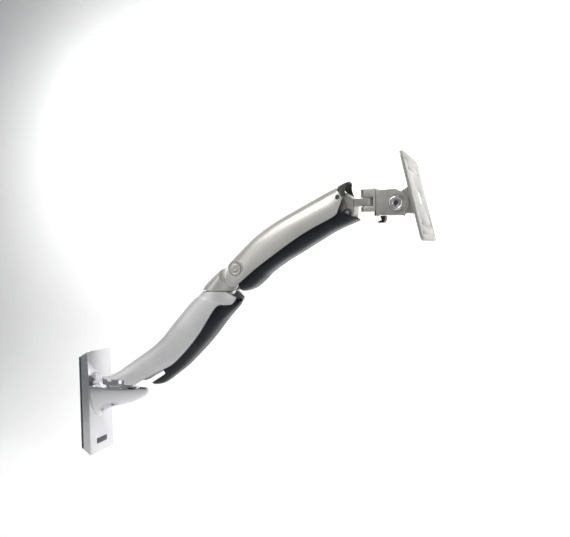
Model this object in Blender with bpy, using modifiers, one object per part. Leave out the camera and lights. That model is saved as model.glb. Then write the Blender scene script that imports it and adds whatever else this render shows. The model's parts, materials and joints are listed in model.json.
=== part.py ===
"""Wall-mounted monitor arm, built as separate pieces on their joint axes.

Frame: the origin is the centre of the wall plate's back face, +X points out
of the wall, +Z up, and the arm lies in the XZ plane. Lengths are in metres.
"""
import bpy
import bmesh
import math
from mathutils import Matrix, Vector

# ---------------------------------------------------------------- driving sizes
GAP = 0.0003                 # between pieces that touch
RUN = 0.0005                 # radial clearance of a turning fit

PLATE_HEIGHT = 0.185
PLATE_WIDTH = 0.060
PLATE_DEPTH = 0.020
BACKPLATE_THICK = 0.004
COVER_WALL = 0.003

BASE_AXIS_X = 0.068          # base swivel axis, out from the wall
BASE_PLANE_Z = 0.036         # underside of the extension
REACH = 0.203                # base swivel axis to elbow swivel axis
RISE = 0.163                 # base plane to elbow plane
EXT_HALF_WIDTH = 0.027
EXT_WALL = 0.003
SWIVEL_RADIUS = 0.032
SWIVEL_SHAFT_R = 0.008
SWIVEL_SEAT = 0.0016         # seat thickness between two swivelling faces

SHOULDER_OUT = 0.041         # elbow axis to shoulder pivot
SHOULDER_UP = 0.036          # elbow plane to shoulder pivot
ARM_LENGTH = 0.192           # shoulder pivot to front pivot
ARM_ANGLE = math.radians(31.4)
ARM_HALF_WIDTH = 0.026
ARM_WALL = 0.0025
PIVOT_PIN_R = 0.005
LINK_DROP = (0.012, -0.022)  # from the upper pivots to the lower link's pivots

CHEEK_INNER = 0.009          # shoulder cheeks, half gap between them
CHEEK_OUTER = 0.014
LINK_INNER = 0.0145          # lower link's side bars
LINK_OUTER = 0.0170
LINK_EYE = 0.0060            # radius of the eyes at the link's ends
SKIRT_OUTER = 0.0228         # arm's black lower cover
SKIRT_WALL = 0.0020

LUG_HALF = 0.014
TONGUE_HALF = 0.0085
TONGUE_THICK = 0.0105
PAN_OUT = 0.039              # front pivot to pan axis
PAN_UP = -0.0075             # front pivot to the tongue's middle
EAR_UPPER = 0.011
EAR_LOWER = 0.0065
HEAD_HALF = 0.013
TILT_OUT = 0.082             # front pivot to tilt axis
TILT_UP = -0.012
TILT_EAR_R = 0.0155
YOKE_HALF = 0.009
YOKE_CHEEK = 0.0035
DISPLAY_TILT = math.radians(13.0)
WEB_NEAR = 0.019             # along the display normal, from the tilt axis
WEB_THICK = 0.003
DISC_THICK = 0.0034
FACE_THICK = 0.0035
ROTATION_PIN_R = 0.0032
FACE_SIDE = 0.120
HOLE_PITCHES = (0.075, 0.100)

WINDOW_END_AT = 0.374        # upper end of the open window above the cable cover's tongue
WINDOW_END_OFFSET = (0.0285, 0, -0.0352)
WINDOW_SLOPE = math.radians(31.7)

# ---------------------------------------------------------------- derived places
BASE = Vector((BASE_AXIS_X, 0, BASE_PLANE_Z))
ELBOW = BASE + Vector((REACH, 0, RISE))
SHOULDER = ELBOW + Vector((SHOULDER_OUT, 0, SHOULDER_UP))
ARM_DIR = Vector((math.cos(ARM_ANGLE), 0, math.sin(ARM_ANGLE)))
ARM_NORMAL = Vector((-ARM_DIR.z, 0, ARM_DIR.x))
FRONT = SHOULDER + ARM_LENGTH * ARM_DIR
LINK_REAR = SHOULDER + Vector((LINK_DROP[0], 0, LINK_DROP[1]))
LINK_FRONT = FRONT + Vector((LINK_DROP[0], 0, LINK_DROP[1]))
PAN = FRONT + Vector((PAN_OUT, 0, PAN_UP))
TILT = FRONT + Vector((TILT_OUT, 0, TILT_UP))
DISPLAY_DIR = Vector((math.cos(DISPLAY_TILT), 0, math.sin(DISPLAY_TILT)))
DISPLAY_UP = Vector((-DISPLAY_DIR.z, 0, DISPLAY_DIR.x))
DISC_NEAR = WEB_NEAR + WEB_THICK + GAP
FACE_NEAR = DISC_NEAR + DISC_THICK + GAP
X_AXIS, Y_AXIS, Z_AXIS = Vector((1, 0, 0)), Vector((0, 1, 0)), Vector((0, 0, 1))


def on_arm(u, v):
    """Point u along the arm from the shoulder pivot and v above that line."""
    return SHOULDER + u * ARM_DIR + v * ARM_NORMAL


def on_link(u, v):
    """Point u along the lower link from its rear pivot and v above that line."""
    return LINK_REAR + u * ARM_DIR + v * ARM_NORMAL


def xz(point):
    return (point.x, point.z)


# ---------------------------------------------------------------- scene helpers
for old in list(bpy.data.objects):
    bpy.data.objects.remove(old)

PARTS = bpy.data.collections.new("monitor_arm")
CUTTERS = bpy.data.collections.new("cutters")
bpy.context.scene.collection.children.link(PARTS)
bpy.context.scene.collection.children.link(CUTTERS)


def material(name, colour, roughness, metallic):
    result = bpy.data.materials.new(name)
    result.use_nodes = True
    shader = result.node_tree.nodes["Principled BSDF"]
    shader.inputs["Base Color"].default_value = (*colour, 1.0)
    shader.inputs["Roughness"].default_value = roughness
    shader.inputs["Metallic"].default_value = metallic
    return result


POLISHED = material("polished_aluminium", (0.86, 0.86, 0.86), 0.14, 1.0)
SATIN = material("satin_cast", (0.60, 0.60, 0.57), 0.38, 0.9)
SILVER = material("silver_paint", (0.70, 0.69, 0.66), 0.30, 0.8)
STEEL = material("bright_steel", (0.55, 0.55, 0.56), 0.30, 1.0)
DARK_STEEL = material("dark_steel", (0.10, 0.10, 0.13), 0.45, 0.8)
BLACK = material("black_plastic", (0.025, 0.028, 0.035), 0.42, 0.0)
CHARCOAL = material("charcoal_plastic", (0.11, 0.12, 0.11), 0.45, 0.0)
NYLON = material("white_nylon", (0.75, 0.74, 0.70), 0.50, 0.0)
BADGE = material("grey_badge", (0.22, 0.22, 0.24), 0.40, 0.0)

PIVOTS = {}


def pivot(name, place):
    """An empty on a joint's axis; the pieces that turn there are its children."""
    empty = bpy.data.objects.new(name + "_axis", None)
    empty.location = place
    PARTS.objects.link(empty)
    PIVOTS[name] = empty


def finish(obj, skin, body):
    """Gives a piece its material and hangs it on its body's pivot."""
    obj.data.materials.clear()
    obj.data.materials.append(skin)
    if body in PIVOTS:
        obj.parent = PIVOTS[body]
        obj.matrix_parent_inverse = Matrix.Translation(-PIVOTS[body].location)
    return obj


def as_guide(obj):
    """Turns a shape into a hidden cutter or joining shape."""
    for group in list(obj.users_collection):
        group.objects.unlink(obj)
    CUTTERS.objects.link(obj)
    obj.hide_render = True
    obj.display_type = "WIRE"
    return obj


def combine(obj, other, operation):
    step = obj.modifiers.new(operation.lower(), "BOOLEAN")
    step.operation = operation
    step.object = as_guide(other)
    step.solver = "EXACT"
    return obj


def cut(obj, other):
    return combine(obj, other, "DIFFERENCE")


def join(obj, other):
    return combine(obj, other, "UNION")


def bevel(obj, width, segments=2, angle=35.0):
    step = obj.modifiers.new("bevel", "BEVEL")
    step.width = width
    step.segments = segments
    step.limit_method = "ANGLE"
    step.angle_limit = math.radians(angle)
    step.harden_normals = False
    return obj


def add_mesh(name, shape):
    bmesh.ops.recalc_face_normals(shape, faces=shape.faces)
    data = bpy.data.meshes.new(name)
    shape.to_mesh(data)
    shape.free()
    obj = bpy.data.objects.new(name, data)
    PARTS.objects.link(obj)
    return obj


def block(name, low, high):
    """A box between two corners."""
    low, high = Vector(low), Vector(high)
    shape = bmesh.new()
    bmesh.ops.create_cube(shape, size=1.0)
    bmesh.ops.scale(shape, vec=high - low, verts=shape.verts)
    bmesh.ops.translate(shape, vec=(low + high) / 2, verts=shape.verts)
    return add_mesh(name, shape)


def slanted_block(name, centre, along, size):
    """A box centred on a point, its length along a direction in the XZ plane."""
    shape = bmesh.new()
    bmesh.ops.create_cube(shape, size=1.0)
    bmesh.ops.scale(shape, vec=size, verts=shape.verts)
    turn = Matrix.Rotation(-math.atan2(along.z, along.x), 4, "Y")
    bmesh.ops.transform(shape, matrix=Matrix.Translation(centre) @ turn, verts=shape.verts)
    return add_mesh(name, shape)


def rod(name, start, end, radius, sides=20, end_radius=None):
    """A straight round rod or cone between two points."""
    start, end = Vector(start), Vector(end)
    shape = bmesh.new()
    bmesh.ops.create_cone(shape, cap_ends=True, segments=sides, radius1=radius,
                          radius2=radius if end_radius is None else end_radius,
                          depth=(end - start).length)
    turn = (end - start).to_track_quat("Z", "Y").to_matrix().to_4x4()
    place = Matrix.Translation((start + end) / 2)
    bmesh.ops.transform(shape, matrix=place @ turn, verts=shape.verts)
    return add_mesh(name, shape)


def drill(obj, start, end, radius, sides=20):
    return cut(obj, rod(obj.name + "_drill", start, end, radius, sides))


def turned(name, profile, place, direction, sides=24):
    """A turned piece; its profile of (radius, height) runs down its outer side."""
    data = bpy.data.meshes.new(name)
    count = len(profile)
    closed = min(radius for radius, _ in profile) > 0
    edges = [(i, i + 1) for i in range(count - 1)] + ([(count - 1, 0)] if closed else [])
    data.from_pydata([(radius, 0, height) for radius, height in profile], edges, [])
    obj = bpy.data.objects.new(name, data)
    PARTS.objects.link(obj)
    turn = Vector(direction).to_track_quat("Z", "Y").to_matrix().to_4x4()
    screw = obj.modifiers.new("screw", "SCREW")
    screw.angle = 2 * math.pi
    screw.steps = sides
    screw.render_steps = sides
    screw.use_merge_vertices = True
    screw.merge_threshold = 0.00002
    obj.matrix_world = Matrix.Translation(place) @ turn
    return settle(obj)


def settle(obj):
    """Replaces a piece by the mesh that its modifiers and placement give."""
    bpy.context.view_layer.update()
    depsgraph = bpy.context.evaluated_depsgraph_get()
    data = bpy.data.meshes.new_from_object(obj.evaluated_get(depsgraph))
    data.transform(obj.matrix_world)
    shape = bmesh.new()
    shape.from_mesh(data)
    bmesh.ops.remove_doubles(shape, verts=shape.verts, dist=0.00001)
    name = obj.name
    bpy.data.objects.remove(obj)
    return add_mesh(name, shape)


def ring(name, place, direction, inner, outer, height, sides=24):
    """A washer or sleeve that starts at a point and runs along a direction."""
    profile = [(outer, height), (outer, 0.0), (inner, 0.0), (inner, height)]
    return turned(name, profile, place, direction, sides)


def arc(centre, radius, start, end, steps):
    """Points on an arc, angles in degrees."""
    result = []
    for i in range(steps + 1):
        angle = math.radians(start + (end - start) * i / steps)
        result.append((centre[0] + radius * math.cos(angle), centre[1] + radius * math.sin(angle)))
    return result


def outline(name, points, low, high, plane="XZ"):
    """A flat outline as a filled 2D curve, thickened between two levels."""
    curve = bpy.data.curves.new(name, "CURVE")
    curve.dimensions = "2D"
    curve.fill_mode = "BOTH"
    curve.extrude = (high - low) / 2
    spline = curve.splines.new("POLY")
    spline.points.add(len(points) - 1)
    for spot, (a, b) in zip(spline.points, points):
        spot.co = (a, b, 0, 1)
    spline.use_cyclic_u = True
    obj = bpy.data.objects.new(name, curve)
    PARTS.objects.link(obj)
    middle = (low + high) / 2
    if plane == "XZ":
        obj.matrix_world = Matrix.Translation((0, middle, 0)) @ Matrix.Rotation(math.pi / 2, 4, "X")
    elif plane == "XY":
        obj.matrix_world = Matrix.Translation((0, 0, middle))
    else:
        turn = Matrix(((0, 0, 1, 0), (1, 0, 0, 0), (0, 1, 0, 0), (0, 0, 0, 1)))
        obj.matrix_world = Matrix.Translation((middle, 0, 0)) @ turn
    return settle(obj)


def hull(circles, steps=5):
    """Outline that wraps a list of (centre, radius) circles."""
    cloud = [p for centre, radius in circles for p in arc(centre, radius, 0, 360, 4 * steps)[:-1]]
    cloud = sorted(set((round(a, 7), round(b, 7)) for a, b in cloud))

    def half(points):
        chain = []
        for p in points:
            while len(chain) > 1 and turn_of(chain[-2], chain[-1], p) <= 0:
                chain.pop()
            chain.append(p)
        return chain[:-1]

    return half(cloud) + half(cloud[::-1])


def turn_of(a, b, c):
    return (b[0] - a[0]) * (c[1] - a[1]) - (b[1] - a[1]) * (c[0] - a[0])


def smooth(rows, steps):
    """Catmull-Rom rows between the given rows of numbers."""
    result = []
    last = len(rows) - 1
    for i in range(last):
        before, here = rows[max(i - 1, 0)], rows[i]
        there, after = rows[i + 1], rows[min(i + 2, last)]
        for k in range(steps):
            t = k / steps
            result.append(tuple(
                0.5 * (2 * b + (c - a) * t + (2 * a - 5 * b + 4 * c - d) * t * t
                       + (3 * b - a - 3 * c + d) * t ** 3)
                for a, b, c, d in zip(before, here, there, after)))
    result.append(tuple(rows[-1]))
    return result


def channel(name, rows, roundness, wall, steps=1, count=10):
    """An arched channel lofted along rows of (rim x, rim z, spine x, spine z, half width, pinch).

    Each section rises from its rim to its spine as half a superellipse whose rim is
    drawn in by the pinch, and the wall thickens inwards.
    """
    shape = bmesh.new()
    loops = []
    for rim_x, rim_z, spine_x, spine_z, half, pinch in smooth(rows, steps):
        loop = []
        for k in range(count + 1):
            angle = math.pi * k / count
            rise = abs(math.sin(angle)) ** (2 / roundness)
            across = -half * math.copysign(abs(math.cos(angle)) ** (2 / roundness), math.cos(angle))
            across *= 1 - pinch * (1 - rise) ** 4
            loop.append(shape.verts.new((rim_x + (spine_x - rim_x) * rise, across,
                                         rim_z + (spine_z - rim_z) * rise)))
        loops.append(loop)
    for first, second in zip(loops, loops[1:]):
        for k in range(count):
            shape.faces.new((first[k], first[k + 1], second[k + 1], second[k]))
    data = bpy.data.meshes.new(name)
    shape.to_mesh(data)
    shape.free()
    obj = bpy.data.objects.new(name, data)
    PARTS.objects.link(obj)
    solid = obj.modifiers.new("wall", "SOLIDIFY")
    solid.thickness = wall
    solid.offset = -1.0 if faces_out(data) else 1.0
    solid.use_even_offset = True
    return settle(obj)


def faces_out(data):
    """True where the channel's side faces point away from its middle plane."""
    return sum(face.normal.y * face.center.y * face.area for face in data.polygons) > 0


# ---------------------------------------------------------------- wall side
def keel_rows():
    """Bracket sections: (x, half width, keel depth), from the wall to the nose."""
    nose = BASE_AXIS_X + 0.056
    return [(BACKPLATE_THICK + GAP, 0.027, 0.0585), (PLATE_DEPTH + 0.002, 0.027, 0.0585),
            (PLATE_DEPTH + 0.008, 0.027, 0.051), (PLATE_DEPTH + 0.021, 0.0265, 0.043),
            (BASE_AXIS_X - 0.006, 0.026, 0.0365), (BASE_AXIS_X + 0.012, 0.0245, 0.032),
            (BASE_AXIS_X + 0.030, 0.0205, 0.026), (BASE_AXIS_X + 0.044, 0.015, 0.0195),
            (nose - 0.004, 0.0095, 0.0145), (nose, 0.003, 0.009)]


BRACKET_TOP = BASE_PLANE_Z - 0.006


def keel(name, rows, clearance=0.0, sides=14):
    """Solid loft of flat-topped half ellipses along +X."""
    shape = bmesh.new()
    loops = []
    for x, half, depth in rows:
        loop = []
        for k in range(sides + 1):
            angle = math.pi * k / sides
            loop.append(shape.verts.new((x, -(half + clearance) * math.cos(angle), BRACKET_TOP
                                         - (depth + clearance) * math.sin(angle))))
        if clearance:
            for end in (0, sides):
                loop[end].co.z += clearance
        loops.append(loop)
    for first, second in zip(loops, loops[1:]):
        for k in range(sides + 1):
            after = (k + 1) % (sides + 1)
            shape.faces.new((first[k], second[k], second[after], first[after]))
    shape.faces.new(loops[0])
    shape.faces.new(loops[-1][::-1])
    return add_mesh(name, shape)


def wall_side():
    half = PLATE_WIDTH / 2
    tall = PLATE_HEIGHT / 2
    flare = 0.0115
    seat_x = BACKPLATE_THICK + GAP

    back = block("wall_back_plate", (0, -half + 0.001, -tall + flare), (BACKPLATE_THICK, half - 0.001, tall - flare))
    for z in (tall - 0.020, -tall + 0.020):
        for y in (-0.016, 0.016):
            drill(back, (-0.001, y, z), (BACKPLATE_THICK + 0.001, y, z), 0.0035, 12)

    slope = flare * (PLATE_DEPTH - seat_x) / PLATE_DEPTH
    cover = outline("wall_cover", [(seat_x, -tall + slope), (PLATE_DEPTH, -tall),
                                   (PLATE_DEPTH, tall), (seat_x, tall - slope)], -half, half)
    bevel(cover, 0.0012, 2)
    cut(cover, block("cover_hollow", (seat_x - 0.001, -half + COVER_WALL, -tall + flare + COVER_WALL),
                     (PLATE_DEPTH - COVER_WALL, half - COVER_WALL, tall - flare - COVER_WALL)))
    cut(cover, keel("bracket_window", keel_rows()[:2], GAP * 1.5))
    badge_z = -tall + 0.0215
    badge = (0.0125, 0.0045)
    cut(cover, block("badge_recess", (PLATE_DEPTH - 0.0008, -badge[0] - GAP, badge_z - badge[1] - GAP),
                     (PLATE_DEPTH + 0.01, badge[0] + GAP, badge_z + badge[1] + GAP)))
    label = block("blank_badge", (PLATE_DEPTH - 0.0008 + GAP, -badge[0], badge_z - badge[1]),
                  (PLATE_DEPTH + 0.0004, badge[0], badge_z + badge[1]))
    bevel(label, 0.0002, 1)

    bracket = keel("swivel_bracket", keel_rows())
    boss_top = BASE_PLANE_Z - SWIVEL_SEAT - GAP
    join(bracket, rod("bracket_boss", (BASE_AXIS_X, 0, BRACKET_TOP - 0.005), (BASE_AXIS_X, 0, boss_top),
                      0.026, 36))
    bore_low = BRACKET_TOP - 0.022
    drill(bracket, (BASE_AXIS_X, 0, bore_low), (BASE_AXIS_X, 0, boss_top + 0.01), SWIVEL_SHAFT_R + GAP, 24)
    places = [(-0.015, BRACKET_TOP - 0.010), (0.015, BRACKET_TOP - 0.010), (0, BRACKET_TOP - 0.046)]
    for index, (y, z) in enumerate(places):
        depth = seat_x + 0.011
        drill(bracket, (0, y, z), (depth, y, z), 0.0025 + GAP, 12)
        cut(back, turned("countersink", [(0, seat_x + 0.001), (0.0025 + GAP, seat_x + 0.001),
                                         (0.0025 + GAP, 0.0024), (0.0050 + GAP, -0.0001),
                                         (0.0050 + GAP, -0.001), (0, -0.001)], (0, y, z), X_AXIS, 12))
        screw = turned(f"bracket_screw_{index + 1}",
                       [(0, depth - 0.001), (0.0025, depth - 0.001), (0.0025, 0.0024),
                        (0.0050, 0.0002), (0, 0.0002)], (0, y, z), X_AXIS, 12)
        finish(screw, STEEL, "root")
    finish(back, DARK_STEEL, "root")
    finish(cover, POLISHED, "root")
    finish(label, BADGE, "root")
    finish(bracket, POLISHED, "root")

    floor_top = BASE_PLANE_Z + 0.005
    shaft_top = floor_top + 0.0078
    shaft = turned("base_shaft", [(0, shaft_top), (SWIVEL_SHAFT_R - 0.001, shaft_top),
                                  (SWIVEL_SHAFT_R, shaft_top - 0.001), (SWIVEL_SHAFT_R, bore_low + GAP),
                                  (0, bore_low + GAP)], (BASE_AXIS_X, 0, 0), Z_AXIS)
    finish(shaft, STEEL, "root")
    swivel_hardware("base", BASE, 1, "root", floor_top - BASE_PLANE_Z)


def swivel_hardware(prefix, centre, side, holder, plate):
    """Flanged bush, washer and hex nut of a vertical swivel.

    side is +1 where the shaft comes up through the plate and -1 where it hangs down.
    """
    up = Z_AXIS * side
    inner = SWIVEL_SHAFT_R + RUN
    sleeve = inner + 0.0022
    low = -SWIVEL_SEAT - GAP / 2
    bush = turned(prefix + "_bush", [(sleeve, plate), (sleeve, -GAP / 2), (0.023, -GAP / 2), (0.023, low),
                                     (inner, low), (inner, plate)], centre, up)
    finish(bush, NYLON, "extension")
    washer = ring(prefix + "_washer", centre + up * (plate + GAP), up, SWIVEL_SHAFT_R + GAP, 0.0135, 0.001)
    finish(washer, STEEL, holder)
    nut_low = centre + up * (plate + 2 * GAP + 0.001)
    nut = rod(prefix + "_nut", nut_low, nut_low + up * 0.0050, 0.0115, 6)
    drill(nut, nut_low - up * 0.01, nut_low + up * 0.02, SWIVEL_SHAFT_R + GAP, 24)
    finish(nut, STEEL, holder)


# ---------------------------------------------------------------- extension
def between(fraction):
    return BASE + Vector((REACH, 0, RISE)) * fraction


def shell_rows():
    """Sections down the extension, from the base cup to the elbow seat."""
    full = EXT_HALF_WIDTH
    table = [(0.0, (-0.0275, 0.0115), (-0.0260, 0.0035), full - 0.0070, 0),
             (0.0, (-0.0195, 0.0145), (-0.0135, 0.0015), full - 0.0035, 0),
             (0.0, (-0.0005, 0.0195), (0.0085, 0.0010), full - 0.0035, 0),
             (0.1, (0.0042, 0.0187), (0.0190, -0.0140), full - 0.0060, 0),
             (0.2, (0.0040, 0.0154), (0.0218, -0.0190), full - 0.0075, 0),
             (0.33, (0.0013, 0.0093), (0.0220, -0.0265), full - 0.0070, 0),
             (0.47, (-0.0009, 0.0061), (0.0236, -0.0355), full - 0.0045, 0),
             (0.6, (-0.0070, 0.0058), (0.0212, -0.0370), full - 0.0020, 0),
             (0.7, (-0.0130, 0.0041), (0.0210, -0.0335), full, 0),
             (0.8, (-0.0179, 0.0036), (0.0155, -0.0325), full, 0),
             (0.9, (-0.0272, -0.0017), (0.0070, -0.0320), full, 0),
             (1.0, (-0.0360, -0.0090), (0.0080, -0.0215), full, 0),
             (1.0, (-0.0310, -0.0045), (0.0300, -0.0195), full, 0.28),
             (1.0, (-0.0262, -0.0005), (0.0400, -0.0005), full, 0.5)]
    return placed_rows(table)


def placed_rows(table):
    """World rows from (fraction of the way, spine offset, rim offset, half width, pinch)."""
    rows = []
    for fraction, spine, rim, half, pinch in table:
        at = between(fraction)
        rows.append((at.x + rim[0], at.z + rim[1], at.x + spine[0], at.z + spine[1], half, pinch))
    return rows


def extension():
    pivot("extension", BASE)
    shell = channel("extension_shell", shell_rows(), 4.0, EXT_WALL, 1, 12)
    slope = [(ELBOW.x + x, ELBOW.z + z) for x, z in ((0.0215, -0.0005), (0.0600, -0.0255), (0.0600, 0.0100),
                                                     (0.0215, 0.0100))]
    cut(shell, outline("elbow_relief", slope, -0.05, 0.05))
    floor = 0.005
    cup = turned("base_cup", [(SWIVEL_RADIUS - 0.004, 0.0105), (SWIVEL_RADIUS - 0.001, 0.0105),
                              (SWIVEL_RADIUS, 0.0090), (SWIVEL_RADIUS, 0.0),
                              (SWIVEL_SHAFT_R + RUN + 0.0025, 0.0), (SWIVEL_SHAFT_R + RUN + 0.0025, floor),
                              (SWIVEL_RADIUS - 0.004, floor)], BASE, Z_AXIS, 48)
    join(shell, cup)
    seat = hull([((ELBOW.x, 0.0), 0.0245), ((ELBOW.x - 0.0070, 0.0), 0.0185)], 8)
    plate = outline("elbow_seat", seat, ELBOW.z - floor, ELBOW.z, "XY")
    drill(plate, ELBOW - Z_AXIS * 0.01, ELBOW + Z_AXIS * 0.01, SWIVEL_SHAFT_R + RUN + 0.0025, 24)
    join(shell, settle(plate))
    finish(shell, POLISHED, "extension")
    cable_cover()


def cover_rows():
    """Sections down the extension's cable cover, which hangs inside the shell's rim."""
    full = EXT_HALF_WIDTH - EXT_WALL - GAP
    table = [(0.25, (0.0290, -0.0375), (0.0140, -0.0235), full - 0.0073, 0),
             (0.3, (0.0338, -0.0418), (0.0170, -0.0240), full - 0.0072, 0),
             (0.4, (0.0347, -0.0434), (0.0185, -0.0250), full - 0.0058, 0),
             (0.5, (0.0349, -0.0443), (0.0180, -0.0270), full - 0.0040, 0),
             (0.6, (0.0333, -0.0432), (0.0172, -0.0270), full - 0.0020, 0),
             (0.7, (0.0319, -0.0410), (0.0165, -0.0250), full, 0),
             (0.8, (0.0290, -0.0385), (0.0120, -0.0240), full, 0),
             (0.9, (0.0255, -0.0350), (0.0080, -0.0220), full, 0),
             (1.0, (0.0215, -0.0345), (0.0060, -0.0150), 0.0200, 0),
             (1.0, (0.0330, -0.0235), (0.0240, -0.0145), 0.0130, 0),
             (1.0, (0.0370, -0.0175), (0.0325, -0.0125), 0.0070, 0)]
    return placed_rows(table)


def cable_cover():
    """Black cover whose lower end is a tongue, open above it where cables leave."""
    cover = channel("extension_cable_cover", cover_rows(), 3.0, 0.0022)
    end = between(WINDOW_END_AT) + Vector(WINDOW_END_OFFSET)
    along = Vector((math.cos(WINDOW_SLOPE), 0, math.sin(WINDOW_SLOPE)))
    up = Vector((-along.z, 0, along.x))
    corners = [xz(end), xz(end + up * 0.030), xz(end - along * 0.080 + up * 0.050), xz(end - along * 0.080)]
    cut(cover, outline("cover_window", corners, -0.05, 0.05))
    finish(cover, BLACK, "extension")


# ---------------------------------------------------------------- shoulder
def column(name, levels, sides=32):
    """Solid loft of egg-shaped level sections: (centre x, left, right, half width, z)."""
    shape = bmesh.new()
    loops = []
    for centre, left, right, half, z in levels:
        loop = []
        for k in range(sides):
            angle = 2 * math.pi * k / sides
            reach = (right if math.cos(angle) > 0 else left) * math.cos(angle)
            loop.append(shape.verts.new((centre + reach, half * math.sin(angle), z)))
        loops.append(loop)
    for first, second in zip(loops, loops[1:]):
        for k in range(sides):
            after = (k + 1) % sides
            shape.faces.new((first[k], first[after], second[after], second[k]))
    shape.faces.new(loops[0][::-1])
    shape.faces.new(loops[-1])
    return add_mesh(name, shape)


def shoulder():
    pivot("shoulder", ELBOW)
    low = ELBOW.z + SWIVEL_SEAT + GAP
    levels = []
    for centre, left, half, rise in ((-0.0010, 0.0275, 0.0275, 0.0), (0.0040, 0.0270, 0.0272, 0.0080),
                                     (0.0155, 0.0240, 0.0262, 0.0215), (0.0234, 0.0200, 0.0240, 0.0305),
                                     (0.0290, 0.0160, 0.0210, 0.0352)):
        levels.append((ELBOW.x + centre, left, SHOULDER_OUT - 0.005 - centre, half, low + rise))
    body = column("shoulder_yoke", levels)
    drill(body, SHOULDER - Y_AXIS * 0.05, SHOULDER + Y_AXIS * 0.05, 0.031, 48)
    post = hull([(xz(SHOULDER), 0.0100), ((ELBOW.x + 0.018, low + 0.0075), 0.006),
                 ((SHOULDER.x - 0.011, low + 0.0065), 0.006)])
    arch = hull([(xz(SHOULDER), 0.0100), (xz(LINK_REAR), 0.0062)])
    for side in (-1, 1):
        inner, outer = sorted((side * CHEEK_INNER, side * CHEEK_OUTER))
        join(body, outline("shoulder_post", post, inner, outer))
        join(body, outline("shoulder_arch", arch, inner, outer))
    for place, radius in ((SHOULDER, PIVOT_PIN_R + GAP), (LINK_REAR, 0.003 + GAP),
                          (spring_rear(), 0.003 + GAP)):
        drill(body, place - Y_AXIS * 0.05, place + Y_AXIS * 0.05, radius, 20)
    bore_top = low + 0.014
    drill(body, ELBOW - Z_AXIS * 0.01, (ELBOW.x, 0, bore_top), SWIVEL_SHAFT_R + GAP, 24)
    finish(body, SILVER, "shoulder")

    shaft_low = ELBOW.z - 0.005 - 0.0078
    shaft = turned("elbow_shaft", [(0, bore_top - GAP), (SWIVEL_SHAFT_R, bore_top - GAP),
                                   (SWIVEL_SHAFT_R, shaft_low + 0.001), (SWIVEL_SHAFT_R - 0.001, shaft_low),
                                   (0, shaft_low)], (ELBOW.x, 0, 0), Z_AXIS)
    finish(shaft, STEEL, "shoulder")
    swivel_hardware("elbow", ELBOW, -1, "shoulder", 0.005)

    reach = ARM_HALF_WIDTH - 0.0015
    pin = rod("shoulder_pin", SHOULDER - Y_AXIS * reach, SHOULDER + Y_AXIS * reach, PIVOT_PIN_R, 20)
    finish(pin, STEEL, "shoulder")
    anchor = rod("spring_rear_pin", spring_rear() - Y_AXIS * CHEEK_OUTER, spring_rear() + Y_AXIS * CHEEK_OUTER,
                 0.003, 16)
    finish(anchor, STEEL, "shoulder")
    for side, word in ((-1, "near"), (1, "far")):
        stub = rod(f"link_rear_pin_{word}", LINK_REAR + Y_AXIS * side * CHEEK_INNER,
                   LINK_REAR + Y_AXIS * side * LINK_OUTER, 0.003, 16)
        finish(stub, STEEL, "shoulder")


# ---------------------------------------------------------------- upper arm
CAP_RADIUS = 0.0098
HUB_RADIUS = 0.0125
HUB_FACE = ARM_HALF_WIDTH + 0.0008


def arm_rows():
    """(rim u, rim v, spine u, spine v, half width) in the arm's own directions."""
    end = ARM_LENGTH
    full = ARM_HALF_WIDTH
    table = [(-0.0272, -0.0105, -0.0060, 0.0180, full), (-0.0205, -0.0205, 0.0020, 0.0205, full),
             (-0.0080, -0.0220, 0.0140, 0.0230, full), (0.0180, -0.0190, 0.0330, 0.0265, full),
             (0.0400, -0.0173, 0.0540, 0.0292, full), (0.0760, -0.0158, 0.0860, 0.0292, full),
             (0.1100, -0.0151, 0.1180, 0.0262, full), (end - 0.0510, -0.0168, end - 0.0440, 0.0228, full),
             (end - 0.0180, -0.0200, end - 0.0200, 0.0203, full),
             (end - 0.0080, -0.0150, end - 0.0050, 0.0183, full - 0.0005),
             (end + 0.0055, -0.0046, end + 0.0030, 0.0168, full - 0.001)]
    rows = []
    for rim_u, rim_v, spine_u, spine_v, half in table:
        rim, spine = on_arm(rim_u, rim_v), on_arm(spine_u, spine_v)
        rows.append((rim.x, rim.z, spine.x, spine.z, half, 0))
    return rows


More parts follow.
